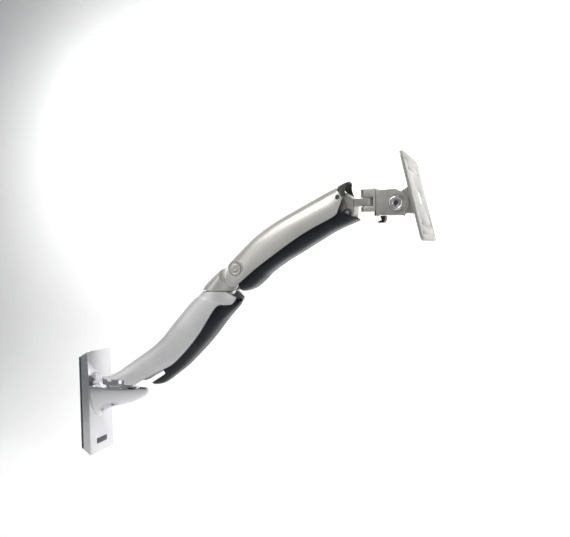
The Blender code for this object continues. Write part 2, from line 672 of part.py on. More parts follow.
def upper_arm():
    pivot("upper_arm", SHOULDER)
    shell = channel("arm_upper_shell", arm_rows(), 2.7, ARM_WALL, 1, 12)
    for side in (-1, 1):
        inner, outer = side * (CHEEK_OUTER + 0.0006), side * HUB_FACE
        join(shell, rod("hub", SHOULDER + Y_AXIS * inner, SHOULDER + Y_AXIS * outer, HUB_RADIUS, 32))
        join(shell, rod("front_hub", FRONT + Y_AXIS * side * (LUG_HALF + 0.0005),
                        FRONT + Y_AXIS * side * (ARM_HALF_WIDTH - 0.0012), 0.0072, 24))
    bush_outer = PIVOT_PIN_R + RUN + 0.0018
    drill(shell, SHOULDER - Y_AXIS * 0.05, SHOULDER + Y_AXIS * 0.05, bush_outer + GAP, 24)
    drill(shell, FRONT - Y_AXIS * 0.05, FRONT + Y_AXIS * 0.05, 0.0033 + GAP, 20)
    for side, word in ((-1, "near"), (1, "far")):
        outward = Y_AXIS * side
        seat = SHOULDER + outward * (HUB_FACE - 0.0016)
        drill(shell, seat, seat + outward * 0.01, CAP_RADIUS + GAP, 24)
        cap = turned(f"pivot_cap_{word}", [(0, 0.0022), (CAP_RADIUS - 0.0008, 0.0022), (CAP_RADIUS, 0.0014),
                                           (CAP_RADIUS, GAP), (0, GAP)], seat, outward, 24)
        finish(cap, SILVER, "upper_arm")
        bush = ring(f"shoulder_bush_{word}", SHOULDER + outward * (CHEEK_OUTER + 0.0006), outward,
                    PIVOT_PIN_R + RUN, bush_outer, HUB_FACE - 0.0022 - CHEEK_OUTER, 20)
        finish(bush, NYLON, "upper_arm")
    finish(shell, SILVER, "upper_arm")
    reach = ARM_HALF_WIDTH - 0.0022
    finish(rod("front_pivot_pin", FRONT - Y_AXIS * reach, FRONT + Y_AXIS * reach, 0.0033, 20),
           DARK_STEEL, "upper_arm")
    visor()
    spring_parts()


def visor():
    """Charcoal end cap that closes the top of the arm's front end."""
    end = ARM_LENGTH
    rows = []
    for rim_u, rim_v, spine_u, spine_v, half in ((end + 0.0088, -0.0045, end + 0.0054, 0.0164, 0.0244),
                                                 (end + 0.0112, -0.0035, end + 0.0115, 0.0159, 0.0232),
                                                 (end + 0.0130, 0.0020, end + 0.0175, 0.0150, 0.0205),
                                                 (end + 0.0145, 0.0070, end + 0.0225, 0.0135, 0.0160)):
        rim, spine = on_arm(rim_u, rim_v), on_arm(spine_u, spine_v)
        rows.append((rim.x, rim.z, spine.x, spine.z, half, 0))
    cap = channel("arm_end_cap", rows, 2.7, ARM_WALL)
    finish(cap, CHARCOAL, "upper_arm")


def spring_rear():
    return SHOULDER + Vector((0, 0, -0.019))


def spring_front():
    return on_arm(ARM_LENGTH - 0.042, -0.004)


def spring_parts():
    rear, front = spring_rear(), spring_front()
    along = (rear - front).normalized()
    length = (rear - front).length
    centre = spring_front()

    u_low, u_high = ARM_LENGTH - 0.052, ARM_LENGTH - 0.026
    corners = [xz(on_arm(u, v)) for u, v in ((u_low, -0.011), (u_high, -0.011), (u_high, 0.014), (u_low, 0.014))]
    nut = outline("spring_anchor_block", corners, -0.013, 0.013)
    slot = [xz(on_arm(u, v)) for u, v in ((u_low - 0.01, -0.012), (u_high - 0.008, -0.012),
                                          (u_high - 0.008, 0.0032), (u_low - 0.01, 0.0032))]
    cut(nut, outline("anchor_slot", slot, -0.0056, 0.0056))
    drill(nut, centre - Y_AXIS * 0.02, centre + Y_AXIS * 0.02, 0.003 + GAP, 16)
    screw_v = 0.0082
    drill(nut, on_arm(u_low - 0.01, screw_v), on_arm(u_high + 0.01, screw_v), 0.003 + GAP, 20)
    finish(nut, STEEL, "upper_arm")
    finish(rod("spring_front_pin", centre - Y_AXIS * 0.0128, centre + Y_AXIS * 0.0128, 0.003, 16),
           STEEL, "upper_arm")

    pivot("adjuster", on_arm(u_low, screw_v))
    head = ARM_LENGTH - 0.0155
    screw = turned("lift_adjust_screw", [(0, head), (0.0044, head), (0.0048, head - 0.0004), (0.0048, head - 0.004),
                                         (0.003, head - 0.004), (0.003, u_low - 0.006), (0, u_low - 0.006)],
                   on_arm(0, screw_v), ARM_DIR, 20)
    socket = on_arm(head, screw_v)
    cut(screw, rod("screw_socket", socket - ARM_DIR * 0.0025, socket + ARM_DIR * 0.002, 0.0022, 6))
    finish(screw, DARK_STEEL, "adjuster")

    pivot("spring_cylinder", front)
    barrel_end = length - 0.048
    barrel = turned("gas_spring_cylinder", [(0, barrel_end), (0.0065, barrel_end), (0.0080, barrel_end - 0.0015),
                                            (0.0080, 0.0125), (0.0070, 0.0115), (0, 0.0115)], front, along, 20)
    join(barrel, rod("front_eye", front - Y_AXIS * 0.005, front + Y_AXIS * 0.005, 0.0062, 20))
    join(barrel, rod("front_neck", front, front + along * 0.013, 0.004, 16))
    drill(barrel, front - Y_AXIS * 0.01, front + Y_AXIS * 0.01, 0.003 + RUN, 16)
    drill(barrel, front + along * (barrel_end - 0.048), front + along * (barrel_end + 0.01), 0.0035 + GAP, 16)
    finish(barrel, BLACK, "spring_cylinder")

    pivot("spring_rod", rear)
    piston = rod("gas_spring_rod", rear, rear - along * 0.074, 0.0035, 16)
    join(piston, rod("rear_eye", rear - Y_AXIS * 0.005, rear + Y_AXIS * 0.005, 0.0065, 20))
    drill(piston, rear - Y_AXIS * 0.01, rear + Y_AXIS * 0.01, 0.003 + 0.0016, 20)
    finish(piston, STEEL, "spring_rod")


# ---------------------------------------------------------------- lower link
def lower_link():
    pivot("lower_link", LINK_REAR)
    end = ARM_LENGTH
    bar = [xz(on_link(u, v)) for u, v in ((0.002, 0.0058), (0.010, 0.0004), (end - 0.010, 0.0004),
                                          (end - 0.002, 0.0058))]
    link = None
    for side in (-1, 1):
        inner, outer = sorted((side * LINK_INNER, side * LINK_OUTER))
        strip = outline("lower_link" if link is None else "link_bar", bar, inner, outer)
        for place in (LINK_REAR, LINK_FRONT):
            join(strip, rod("link_eye", place + Y_AXIS * inner, place + Y_AXIS * outer, LINK_EYE, 24))
        if link is None:
            link = strip
        else:
            other = settle(strip)
            join(link, other)
    for low, high in ((0.100, 0.112), (end - 0.040, end - 0.026)):
        web = [xz(on_link(u, v)) for u, v in ((low, 0.0009), (high, 0.0009), (high, 0.0029), (low, 0.0029))]
        join(link, outline("link_web", web, -LINK_INNER - 0.0010, LINK_INNER + 0.0010))
    for place in (LINK_REAR, LINK_FRONT):
        drill(link, place - Y_AXIS * 0.05, place + Y_AXIS * 0.05, 0.003 + RUN, 16)
    finish(link, DARK_STEEL, "lower_link")

    half = SKIRT_OUTER
    table = [(-0.0090, 0.0045, -0.0125, -0.0085, half - 0.0008), (-0.0020, 0.0045, -0.0060, -0.0110, half),
             (0.0080, 0.0060, 0.0070, -0.0123, half), (0.0220, 0.0105, 0.0240, -0.0100, half),
             (0.0400, 0.0110, 0.0400, -0.0066, half), (0.0700, 0.0110, 0.0700, -0.0056, half),
             (0.1000, 0.0110, 0.1000, -0.0070, half), (0.1300, 0.0110, 0.1300, -0.0080, half),
             (end - 0.0320, 0.0100, end - 0.0320, -0.0096, half),
            (end - 0.0110, 0.0078, end - 0.0060, -0.0140, half - 0.0007),
             (end - 0.0005, -0.0010, end + 0.0050, -0.0160, half - 0.0018)]
    rows = []
    for rim_u, rim_v, low_u, low_v, width in table:
        rim, low = on_link(rim_u, rim_v), on_link(low_u, low_v)
        rows.append((rim.x, rim.z, low.x, low.z, width, 0))
    skirt = channel("arm_lower_cover", rows, 3.2, SKIRT_WALL)
    finish(skirt, BLACK, "lower_link")


# ---------------------------------------------------------------- front bracket
def front_bracket():
    pivot("front_bracket", FRONT)
    right = PAN.x - 0.0190
    profile = hull([(xz(FRONT), 0.0095), (xz(LINK_FRONT), 0.0085), ((right - 0.003, LINK_FRONT.z + 0.002), 0.003),
                    ((right - 0.003, FRONT.z - 0.004), 0.003)])
    lug = outline("front_bracket", profile, -LUG_HALF, LUG_HALF)
    low, high = PAN.z - TONGUE_THICK / 2, PAN.z + TONGUE_THICK / 2
    tongue = hull([((PAN.x, 0.0), TONGUE_HALF), ((FRONT.x + 0.0165, 0.0), TONGUE_HALF)])
    join(lug, outline("tongue", tongue, low, high, "XY"))
    drill(lug, FRONT - Y_AXIS * 0.05, FRONT + Y_AXIS * 0.05, 0.0033 + RUN, 20)
    drill(lug, LINK_FRONT - Y_AXIS * 0.05, LINK_FRONT + Y_AXIS * 0.05, 0.003 + GAP, 16)
    drill(lug, (PAN.x, 0, low - 0.01), (PAN.x, 0, high + 0.01), 0.004 + RUN, 22)
    finish(lug, SATIN, "front_bracket")
    for side, word in ((-1, "near"), (1, "far")):
        stub = rod(f"link_front_pin_{word}", LINK_FRONT + Y_AXIS * side * 0.004,
                   LINK_FRONT + Y_AXIS * side * LINK_OUTER, 0.003, 16)
        finish(stub, STEEL, "front_bracket")


# ---------------------------------------------------------------- pan head
def pan_head():
    pivot("pan_head", PAN)
    low, high = PAN.z - TONGUE_THICK / 2, PAN.z + TONGUE_THICK / 2
    play = 0.0016
    wall_x = PAN.x + TONGUE_HALF + 0.0008
    flange_x = TILT.x - 0.030
    ear_plan = hull([((PAN.x, 0.0), 0.011), ((flange_x - 0.001, HEAD_HALF - 0.001), 0.001),
                     ((flange_x - 0.001, -HEAD_HALF + 0.001), 0.001)])
    bottom, top = low - play - EAR_LOWER, high + play + EAR_UPPER
    clevis = outline("pan_clevis", ear_plan, bottom, top, "XY")
    cut(clevis, block("clevis_slot", (PAN.x - 0.02, -0.02, low - play), (wall_x, 0.02, high + play)))
    join(clevis, block("clevis_flange", (wall_x + 0.002, -HEAD_HALF, bottom - 0.0075),
                       (flange_x, HEAD_HALF, top)))
    shank = 0.004
    head_low = top - 0.0055
    drill(clevis, (PAN.x, 0, bottom - 0.01), (PAN.x, 0, top + 0.01), shank + GAP, 20)
    drill(clevis, (PAN.x, 0, head_low), (PAN.x, 0, top + 0.01), 0.0068, 20)
    for z in (PAN.z - 0.009, PAN.z + 0.009):
        drill(clevis, (wall_x - 0.005, 0, z), (flange_x + 0.01, 0, z), 0.0022 + GAP, 16)
    bolt = turned("pan_bolt", [(0, top - 0.0006), (0.0060, top - 0.0006), (0.0065, top - 0.0011),
                               (0.0065, head_low + GAP), (shank, head_low + GAP), (shank, bottom + 0.0005),
                               (0, bottom + 0.0005)], (PAN.x, 0, 0), Z_AXIS, 20)
    cut(bolt, rod("bolt_socket", (PAN.x, 0, top - 0.004), (PAN.x, 0, top + 0.01), 0.0029, 6))
    finish(clevis, SATIN, "pan_head")
    finish(bolt, STEEL, "pan_head")
    for word, z in (("upper", high + GAP), ("lower", low - play + GAP)):
        finish(ring(f"pan_washer_{word}", (PAN.x, 0, z), Z_AXIS, shank + GAP, TONGUE_HALF, play - 2 * GAP, 24),
               NYLON, "pan_head")

    face_x = flange_x + GAP
    body_low, body_high = bottom - 0.0035, top - 0.0045
    crown = hull([(xz(TILT), TILT_EAR_R), ((face_x + 0.002, body_low), 0.002), ((face_x + 0.002, body_high), 0.002),
                  ((TILT.x - 0.002, body_high + 0.001), 0.001)])
    knuckle = outline("tilt_block", crown, -HEAD_HALF, HEAD_HALF)
    cut(knuckle, block("tilt_slot", (TILT.x - 0.0165, -YOKE_HALF - GAP, TILT.z - 0.03),
                       (TILT.x + 0.03, YOKE_HALF + GAP, TILT.z + 0.03)))
    drill(knuckle, TILT - Y_AXIS * 0.03, TILT + Y_AXIS * 0.03, 0.004 + GAP, 20)
    for z in (PAN.z - 0.009, PAN.z + 0.009):
        drill(knuckle, (face_x - 0.01, 0, z), (face_x + 0.0085, 0, z), 0.0022 + GAP, 16)
    finish(knuckle, SATIN, "pan_head")
    for word, z in (("upper", PAN.z + 0.009), ("lower", PAN.z - 0.009)):
        screw = turned(f"block_screw_{word}", [(0, face_x + 0.008), (0.0022, face_x + 0.008),
                                               (0.0022, wall_x + 0.0006), (0, wall_x + 0.0006)],
                       (0, 0, z), X_AXIS, 16)
        finish(screw, STEEL, "pan_head")

    clip_x = face_x + 0.008
    stem_top = min(body_low, TILT.z - TILT_EAR_R) - GAP
    clip = outline("cable_clip", [(clip_x - 0.004, stem_top), (clip_x + 0.004, stem_top), (clip_x + 0.003, stem_top - 0.006),
                                  (clip_x + 0.001, stem_top - 0.0095), (clip_x - 0.007, stem_top - 0.0095),
                                  (clip_x - 0.007, stem_top - 0.0075), (clip_x - 0.002, stem_top - 0.006)],
                   -0.006, 0.006)
    finish(clip, BLACK, "pan_head")

    washer_side = HEAD_HALF + GAP
    for side, word in ((-1, "near"), (1, "far")):
        outward = Y_AXIS * side
        for index, (radius, start, thick) in enumerate(((0.0125, 0.0, 0.0022), (0.0115, 0.0022 + GAP, 0.0018))):
            part = ring(f"tilt_washer_{word}_{index + 1}", TILT + outward * (washer_side + start), outward,
                        0.004 + GAP, radius, thick, 24)
            finish(part, STEEL, "pan_head")
    stack = washer_side + 0.0040 + 2 * GAP
    bolt = turned("tilt_bolt", [(0, stack + 0.0055), (0.0088, stack + 0.0055), (0.0098, stack + 0.0045), (0.0098, stack),
                                (0.004, stack), (0.004, -stack - 0.0060), (0, -stack - 0.0060)],
                  TILT, -Y_AXIS, 24)
    cut(bolt, rod("tilt_socket", TILT - Y_AXIS * (stack + 0.002), TILT - Y_AXIS * (stack + 0.01), 0.0040, 6))
    finish(bolt, STEEL, "pan_head")
    nut_at = TILT + Y_AXIS * stack
    nut = rod("tilt_nut", nut_at, nut_at + Y_AXIS * 0.0055, 0.0085, 6)
    drill(nut, nut_at - Y_AXIS * 0.01, nut_at + Y_AXIS * 0.02, 0.004 + GAP, 20)
    finish(nut, STEEL, "pan_head")


# ---------------------------------------------------------------- tilt head
def on_head(n, w):
    """Point n along the display's normal and w up its face, from the tilt axis."""
    return TILT + n * DISPLAY_DIR + w * DISPLAY_UP


def tilt_head():
    pivot("tilt_head", TILT)
    web_far = WEB_NEAR + WEB_THICK
    tall = 0.020
    cheek = hull([(xz(TILT), 0.0125), (xz(on_head(web_far - 0.003, tall - 0.003)), 0.002),
                  (xz(on_head(web_far - 0.003, -tall + 0.003)), 0.002)])
    yoke = outline("tilt_yoke", cheek, -YOKE_HALF, YOKE_HALF)
    inside = [xz(on_head(n, w)) for n, w in ((-0.03, -0.03), (WEB_NEAR, -0.03), (WEB_NEAR, 0.03), (-0.03, 0.03))]
    cut(yoke, outline("yoke_gap", inside, -YOKE_HALF + YOKE_CHEEK, YOKE_HALF - YOKE_CHEEK))
    join(yoke, slanted_block("yoke_web", on_head(WEB_NEAR + WEB_THICK / 2, 0), DISPLAY_DIR,
                             (WEB_THICK, 0.032, 2 * tall)))
    drill(yoke, TILT - Y_AXIS * 0.03, TILT + Y_AXIS * 0.03, 0.004 + RUN, 20)
    drill(yoke, on_head(0.010, 0), on_head(0.030, 0), ROTATION_PIN_R + RUN, 20)
    finish(yoke, SATIN, "tilt_head")

    coil = []
    turns, per_turn = 3, 12
    pitch = 0.0022
    for k in range(turns * per_turn + 1):
        angle = math.radians(230) + 2 * math.pi * k / per_turn
        coil.append(TILT + Vector((0.0068 * math.cos(angle), -turns * pitch / 2 + pitch * k / per_turn,
                                   0.0068 * math.sin(angle))))
    leg = TILT + Vector((0.0085, -turns * pitch / 2, -0.0170))
    coil.insert(0, coil[0] + Vector((0.004, 0, -0.0028)))
    coil.insert(0, leg)
    finish(tube("tilt_spring", coil, 0.0008), DARK_STEEL, "tilt_head")


def tube(name, points, radius):
    """A wire along a list of points."""
    curve = bpy.data.curves.new(name, "CURVE")
    curve.dimensions = "3D"
    curve.bevel_depth = radius
    curve.bevel_resolution = 2
    curve.use_fill_caps = True
    spline = curve.splines.new("POLY")
    spline.points.add(len(points) - 1)
    for spot, point in zip(spline.points, points):
        spot.co = (*point, 1)
    obj = bpy.data.objects.new(name, curve)
    PARTS.objects.link(obj)
    return settle(obj)


# ---------------------------------------------------------------- display plate
def display():
    pivot("display_plate", on_head(FACE_NEAR, 0))
    disc = ring("rotation_disc", on_head(DISC_NEAR, 0), DISPLAY_DIR, ROTATION_PIN_R + RUN, 0.021, DISC_THICK, 40)
    finish(disc, NYLON, "display_plate")

    half = FACE_SIDE / 2
    corner = 0.008
    square = hull([((y, z), corner) for y in (-half + corner, half - corner) for z in (-half + corner, half - corner)], 4)
    plate = outline("display_plate", square, 0, FACE_THICK, "YZ")
    holes = [(y * p / 2, z * p / 2) for p in HOLE_PITCHES for y in (-1, 1) for z in (-1, 1)]
    for y, z in holes:
        drill(plate, (-0.01, y, z), (0.02, y, z), 0.0025, 16)
    drill(plate, (-0.01, 0, 0), (0.02, 0, 0), ROTATION_PIN_R + GAP, 20)
    drill(plate, (FACE_THICK - 0.0019, 0, 0), (0.02, 0, 0), 0.0090 + GAP, 24)
    plate = settle(plate)
    turn = Matrix.Rotation(-DISPLAY_TILT, 4, "Y")
    plate.data.transform(Matrix.Translation(on_head(FACE_NEAR, 0)) @ turn)
    finish(plate, SATIN, "display_plate")

    top = FACE_NEAR + FACE_THICK - 0.0001
    nut_near = WEB_NEAR - 0.0042
    pin = turned("rotation_pin", [(0, top), (0.0090, top), (0.0090, top - 0.0015), (ROTATION_PIN_R, top - 0.0015),
                                  (ROTATION_PIN_R, nut_near), (0, nut_near)], on_head(0, 0), DISPLAY_DIR, 24)
    finish(pin, STEEL, "display_plate")
    lock = ring("rotation_nut", on_head(nut_near, 0), DISPLAY_DIR, ROTATION_PIN_R + GAP, 0.0051,
                0.0042 - GAP, 20)
    finish(lock, STEEL, "display_plate")


wall_side()
extension()
shoulder()
upper_arm()
lower_link()
front_bracket()
pan_head()
tilt_head()
display()
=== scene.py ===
"""Looks of the wall-mounted monitor arm: fine pieces, materials, light and camera."""
import json
import math

import bmesh
import bpy
from mathutils import Matrix, Vector


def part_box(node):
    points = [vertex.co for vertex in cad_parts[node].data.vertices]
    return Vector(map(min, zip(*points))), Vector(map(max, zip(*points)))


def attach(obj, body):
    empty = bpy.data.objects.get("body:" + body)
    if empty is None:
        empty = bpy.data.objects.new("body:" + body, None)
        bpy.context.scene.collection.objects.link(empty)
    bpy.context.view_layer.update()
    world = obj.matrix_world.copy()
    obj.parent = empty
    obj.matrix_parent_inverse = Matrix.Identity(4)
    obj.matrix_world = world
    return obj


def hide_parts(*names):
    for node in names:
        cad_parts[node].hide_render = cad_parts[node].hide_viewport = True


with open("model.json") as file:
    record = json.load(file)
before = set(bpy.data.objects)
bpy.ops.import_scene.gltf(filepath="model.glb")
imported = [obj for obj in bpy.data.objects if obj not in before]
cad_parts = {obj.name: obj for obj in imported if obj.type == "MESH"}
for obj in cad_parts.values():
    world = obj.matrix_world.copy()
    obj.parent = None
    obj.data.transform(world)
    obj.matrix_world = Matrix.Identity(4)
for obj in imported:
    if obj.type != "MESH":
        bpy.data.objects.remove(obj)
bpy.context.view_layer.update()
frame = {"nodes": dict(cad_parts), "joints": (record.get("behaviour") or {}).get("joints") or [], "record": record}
NODES = frame["nodes"]
JOINTS = {joint["name"]: joint for joint in frame["joints"]}


def joint_at(name):
    return Vector(JOINTS[name]["pos_m"])


# ---------------------------------------------------------------- places and sizes
BASE, ELBOW, SHOULDER = joint_at("base_swivel"), joint_at("elbow_swivel"), joint_at("arm_lift")
FRONT, LINK_REAR = joint_at("front_level"), joint_at("link_swing")
PAN, TILT = joint_at("head_pan"), joint_at("head_tilt")
DISPLAY_DIR = Vector(JOINTS["display_rotate"]["axis"]).normalized()
DISPLAY_UP = Vector((-DISPLAY_DIR.z, 0, DISPLAY_DIR.x))
ARM_LENGTH = (FRONT - SHOULDER).length
ARM_DIR = (FRONT - SHOULDER) / ARM_LENGTH
ARM_NORMAL = Vector((-ARM_DIR.z, 0, ARM_DIR.x))
Y_AXIS, Z_AXIS = Vector((0, 1, 0)), Vector((0, 0, 1))

GAP = 0.0003                 # between pieces that touch
BRACKET_DROP = 0.006         # base plane to the wall bracket's top
EXT_HALF = 0.027             # extension, half width
EXT_WALL = 0.003
COVER_WALL = 0.0022          # the extension's cable cover
CUP_RADIUS = 0.032
SWIVEL_BORE_R = 0.011
CHEEK_INNER = 0.009          # shoulder cheeks, half gap between them
CHEEK_OUTER = 0.014
SWEEP_R = 0.031              # room in the shoulder cup for the arm's turning rear end
PIVOT_BORE_R = 0.0053
LINK_BORE_R = 0.0033
ARM_HALF = 0.026             # upper arm, half width
ARM_WALL = 0.0025
LINK_COVER_HALF = 0.0228     # the arm's black lower cover, half width
LINK_COVER_WALL = 0.0020
LUG_HALF = 0.014
TONGUE_HALF = 0.0085
TONGUE_HALF_THICK = 0.00525
EAR_LOWER = 0.0065           # thickness of the fork's ears
EAR_UPPER = 0.011
HEAD_HALF = 0.013            # head, half width
TILT_EAR_R = 0.0155
YOKE_INNER = 0.0055          # yoke cheeks, half gap between them
YOKE_OUTER = 0.009
WEB_NEAR = 0.019             # along the display normal, from the tilt axis
WEB_THICK = 0.003
WEB_HALF = 0.016
WEB_TALL = 0.020
DISC_THICK = 0.0034
FACE_HALF = 0.060            # display plate
FACE_THICK = 0.0035
HOLE_PITCHES = (0.075, 0.100)
THROUGH = 0.05               # reach of a cutter to each side of the middle plane
PLATE_LOW, PLATE_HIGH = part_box("wall_cover")


def on_arm(u, v):
    return SHOULDER + u * ARM_DIR + v * ARM_NORMAL


def on_link(u, v):
    return LINK_REAR + u * ARM_DIR + v * ARM_NORMAL


def on_head(n, w):
    return TILT + n * DISPLAY_DIR + w * DISPLAY_UP


def between(fraction):
    return BASE + (ELBOW - BASE) * fraction


def xz(point):
    return (point.x, point.z)


# ---------------------------------------------------------------- materials
# sockets of a Mix node that mixes colours
MIX_FACTOR, MIX_FIRST, MIX_SECOND, MIX_RESULT = 0, 6, 7, 2


class Look:
    """A Principled material built node by node."""

    def __init__(self, name, colour, roughness, metallic=0.0):
        self.material = bpy.data.materials.new(name)
        self.material.use_nodes = True
        self.tree = self.material.node_tree
        self.shader = self.tree.nodes["Principled BSDF"]
        self.shader.inputs["Base Color"].default_value = (*colour, 1)
        self.shader.inputs["Roughness"].default_value = roughness
        self.shader.inputs["Metallic"].default_value = metallic
        self.colour, self.roughness = colour, roughness
        self.place = self.node("ShaderNodeTexCoord").outputs["Object"]
        self.normal = None

    def node(self, kind, **values):
        made = self.tree.nodes.new(kind)
        for key, value in values.items():
            setattr(made, key, value)
        return made

    def link(self, start, end):
        self.tree.links.new(start, end)

    def noise(self, scale, detail=4.0, stretch=(1, 1, 1), rough=0.5):
        mapping = self.node("ShaderNodeMapping")
        mapping.inputs["Scale"].default_value = stretch
        self.link(self.place, mapping.inputs["Vector"])
        noise = self.node("ShaderNodeTexNoise")
        noise.inputs["Scale"].default_value = scale
        noise.inputs["Detail"].default_value = detail
        noise.inputs["Roughness"].default_value = rough
        self.link(mapping.outputs["Vector"], noise.inputs["Vector"])
        return noise.outputs["Fac"]

    def cells(self, scale):
        voronoi = self.node("ShaderNodeTexVoronoi")
        voronoi.inputs["Scale"].default_value = scale
        self.link(self.place, voronoi.inputs["Vector"])
        return voronoi

    def ramp(self, factor, low, high, start=0.3, end=0.7):
        ramp = self.node("ShaderNodeMapRange")
        ramp.inputs["From Min"].default_value = start
        ramp.inputs["From Max"].default_value = end
        ramp.inputs["To Min"].default_value = low
        ramp.inputs["To Max"].default_value = high
        self.link(factor, ramp.inputs["Value"])
        return ramp.outputs["Result"]

    def vary_roughness(self, factor, spread, start=0.3, end=0.7):
        self.link(self.ramp(factor, self.roughness - spread, self.roughness + spread, start, end),
                  self.shader.inputs["Roughness"])

    def vary_colour(self, factor, other, start=0.35, end=0.65):
        mix = self.node("ShaderNodeMix", data_type="RGBA")
        mix.inputs[MIX_FIRST].default_value = (*self.colour, 1)
        mix.inputs[MIX_SECOND].default_value = (*other, 1)
        self.link(self.ramp(factor, 0.0, 1.0, start, end), mix.inputs[MIX_FACTOR])
        self.link(mix.outputs[MIX_RESULT], self.shader.inputs["Base Color"])

    def edge_wear_and_highlight(self, colour, strength=1.0):
        """Brighter edges in spots, partly rubbed wear and partly a painted highlight along the edges; comes after
        vary_colour.
        """
        # the edge mask paints a highlight on sharp edges, broken into rubbed-looking spots
        pointy = self.node("ShaderNodeNewGeometry").outputs["Pointiness"]
        edge = self.ramp(pointy, 0.0, strength, 0.56, 0.66)
        spots = self.ramp(self.noise(260.0, 3.0), 0.25, 1.0, 0.40, 0.60)
        both = self.node("ShaderNodeMath", operation="MULTIPLY")
        self.link(edge, both.inputs[0])
        self.link(spots, both.inputs[1])
        mix = self.node("ShaderNodeMix", data_type="RGBA")
        source = self.shader.inputs["Base Color"]
        self.link(source.links[0].from_socket, mix.inputs[MIX_FIRST])
        mix.inputs[MIX_SECOND].default_value = (*colour, 1)
        self.link(both.outputs[0], mix.inputs[MIX_FACTOR])
        self.link(mix.outputs[MIX_RESULT], source)

    def bump(self, height, distance, strength=1.0):
        bump = self.node("ShaderNodeBump")
        bump.inputs["Distance"].default_value = distance
        bump.inputs["Strength"].default_value = strength
        self.link(height, bump.inputs["Height"])
        if self.normal is not None:
            self.link(self.normal, bump.inputs["Normal"])
        self.normal = bump.outputs["Normal"]
        self.link(self.normal, self.shader.inputs["Normal"])


def polished():
    look = Look("polished_aluminium", (0.76, 0.76, 0.78), 0.115, 1.0)
    look.vary_colour(look.noise(22.0, 3.0), (0.70, 0.70, 0.72))
    look.vary_roughness(look.noise(60.0, 6.0, (1, 1, 0.25)), 0.045)
    look.bump(look.noise(14.0, 2.0), 0.0006, 0.35)
    look.bump(look.noise(900.0, 2.0, (1, 1, 0.08)), 0.00002, 0.5)
    return look.material


def silver():
    look = Look("silver_paint", (0.60, 0.59, 0.555), 0.34, 0.55)
    flakes = look.cells(2600.0)
    look.vary_colour(flakes.outputs["Color"], (0.68, 0.67, 0.635), 0.2, 0.8)
    look.vary_roughness(look.noise(35.0, 5.0), 0.05)
    look.edge_wear_and_highlight((0.74, 0.73, 0.70), 0.6)
    look.bump(look.noise(1500.0, 3.0), 0.00002, 0.5)
    look.bump(look.noise(30.0, 2.0), 0.0004, 0.10)
    look.shader.inputs["Coat Weight"].default_value = 0.25
    look.shader.inputs["Coat Roughness"].default_value = 0.20
    return look.material


def satin():
    """The polished casting's softer finish on the long extension."""
    look = Look("satin_aluminium", (0.80, 0.80, 0.795), 0.36, 0.40)
    look.vary_colour(look.noise(34.0, 4.0), (0.75, 0.75, 0.75))
    look.vary_roughness(look.noise(80.0, 5.0, (1, 1, 0.3)), 0.05)
    look.edge_wear_and_highlight((0.84, 0.84, 0.83), 0.12)
    look.bump(look.noise(1200.0, 3.0), 0.00002, 0.5)
    look.bump(look.noise(24.0, 2.0), 0.0004, 0.12)
    return look.material


def cast():
    look = Look("satin_cast", (0.50, 0.49, 0.46), 0.40, 0.80)
    look.vary_colour(look.noise(160.0, 5.0), (0.45, 0.44, 0.415))
    look.vary_roughness(look.noise(90.0, 4.0), 0.08)
    look.edge_wear_and_highlight((0.72, 0.71, 0.68), 0.9)
    look.bump(look.noise(900.0, 5.0), 0.00006, 0.6)
    return look.material


def steel():
    look = Look("bright_steel", (0.60, 0.60, 0.59), 0.24, 0.95)
    look.vary_colour(look.noise(60.0, 3.0), (0.54, 0.54, 0.54))
    look.vary_roughness(look.noise(120.0, 3.0), 0.05)
    look.edge_wear_and_highlight((0.80, 0.80, 0.80), 0.6)
    look.bump(look.noise(1400.0, 2.0, (1, 0.2, 1)), 0.00001, 0.4)
    return look.material


def dark_steel():
    look = Look("dark_steel", (0.055, 0.055, 0.075), 0.42, 0.75)
    look.vary_colour(look.noise(90.0, 4.0), (0.09, 0.088, 0.12))
    look.vary_roughness(look.noise(140.0, 4.0), 0.08)
    look.edge_wear_and_highlight((0.30, 0.30, 0.33), 0.8)
    look.bump(look.noise(1100.0, 3.0), 0.00003, 0.5)
    return look.material


# the last colour brightens the edges: rubbed wear and a painted edge highlight
def plastic(name, colour, other, roughness, grain=0.00003, edge_wear_and_highlight=(0.10, 0.105, 0.12)):
    look = Look(name, colour, roughness)
    look.vary_colour(look.noise(40.0, 4.0), other)
    look.vary_roughness(look.noise(55.0, 5.0), 0.05)
    look.edge_wear_and_highlight(edge_wear_and_highlight, 0.02)
    look.bump(look.noise(1300.0, 3.0), grain, 0.7)
    look.bump(look.noise(26.0, 2.0), 0.0004, 0.12)
    look.shader.inputs["Specular IOR Level"].default_value = 0.32
    return look.material


# the dark steel finish, also worn by dark pieces that paint the shade in gaps, grooves, a slot and the bolt socket
SATIN, DARK_STEEL_AND_SHADE = satin(), dark_steel()
SKINS = {
    "polished_aluminium": polished(),
    "silver_paint": silver(),
    "satin_cast": cast(),
    "bright_steel": steel(),
    "dark_steel": DARK_STEEL_AND_SHADE,
    "black_plastic": plastic("black_plastic", (0.010, 0.012, 0.017), (0.014, 0.017, 0.024), 0.32, 0.00001),
    "charcoal_plastic": plastic("charcoal_plastic", (0.060, 0.064, 0.058), (0.080, 0.084, 0.078), 0.42,
                                edge_wear_and_highlight=(0.16, 0.16, 0.15)),
    "white_nylon": plastic("white_nylon", (0.70, 0.69, 0.64), (0.62, 0.61, 0.56), 0.48,
                           edge_wear_and_highlight=(0.80, 0.79, 0.75)),
    "grey_badge": plastic("grey_badge", (0.10, 0.10, 0.12), (0.14, 0.14, 0.16), 0.35,
                          edge_wear_and_highlight=(0.3, 0.3, 0.32)),
}
SLOT_OF = {part["node"]: part["material_slot"] for part in frame["record"]["subparts"]}
BODY_OF = {node: body for body, nodes in frame["record"]["behaviour"]["bodies"].items() for node in nodes}
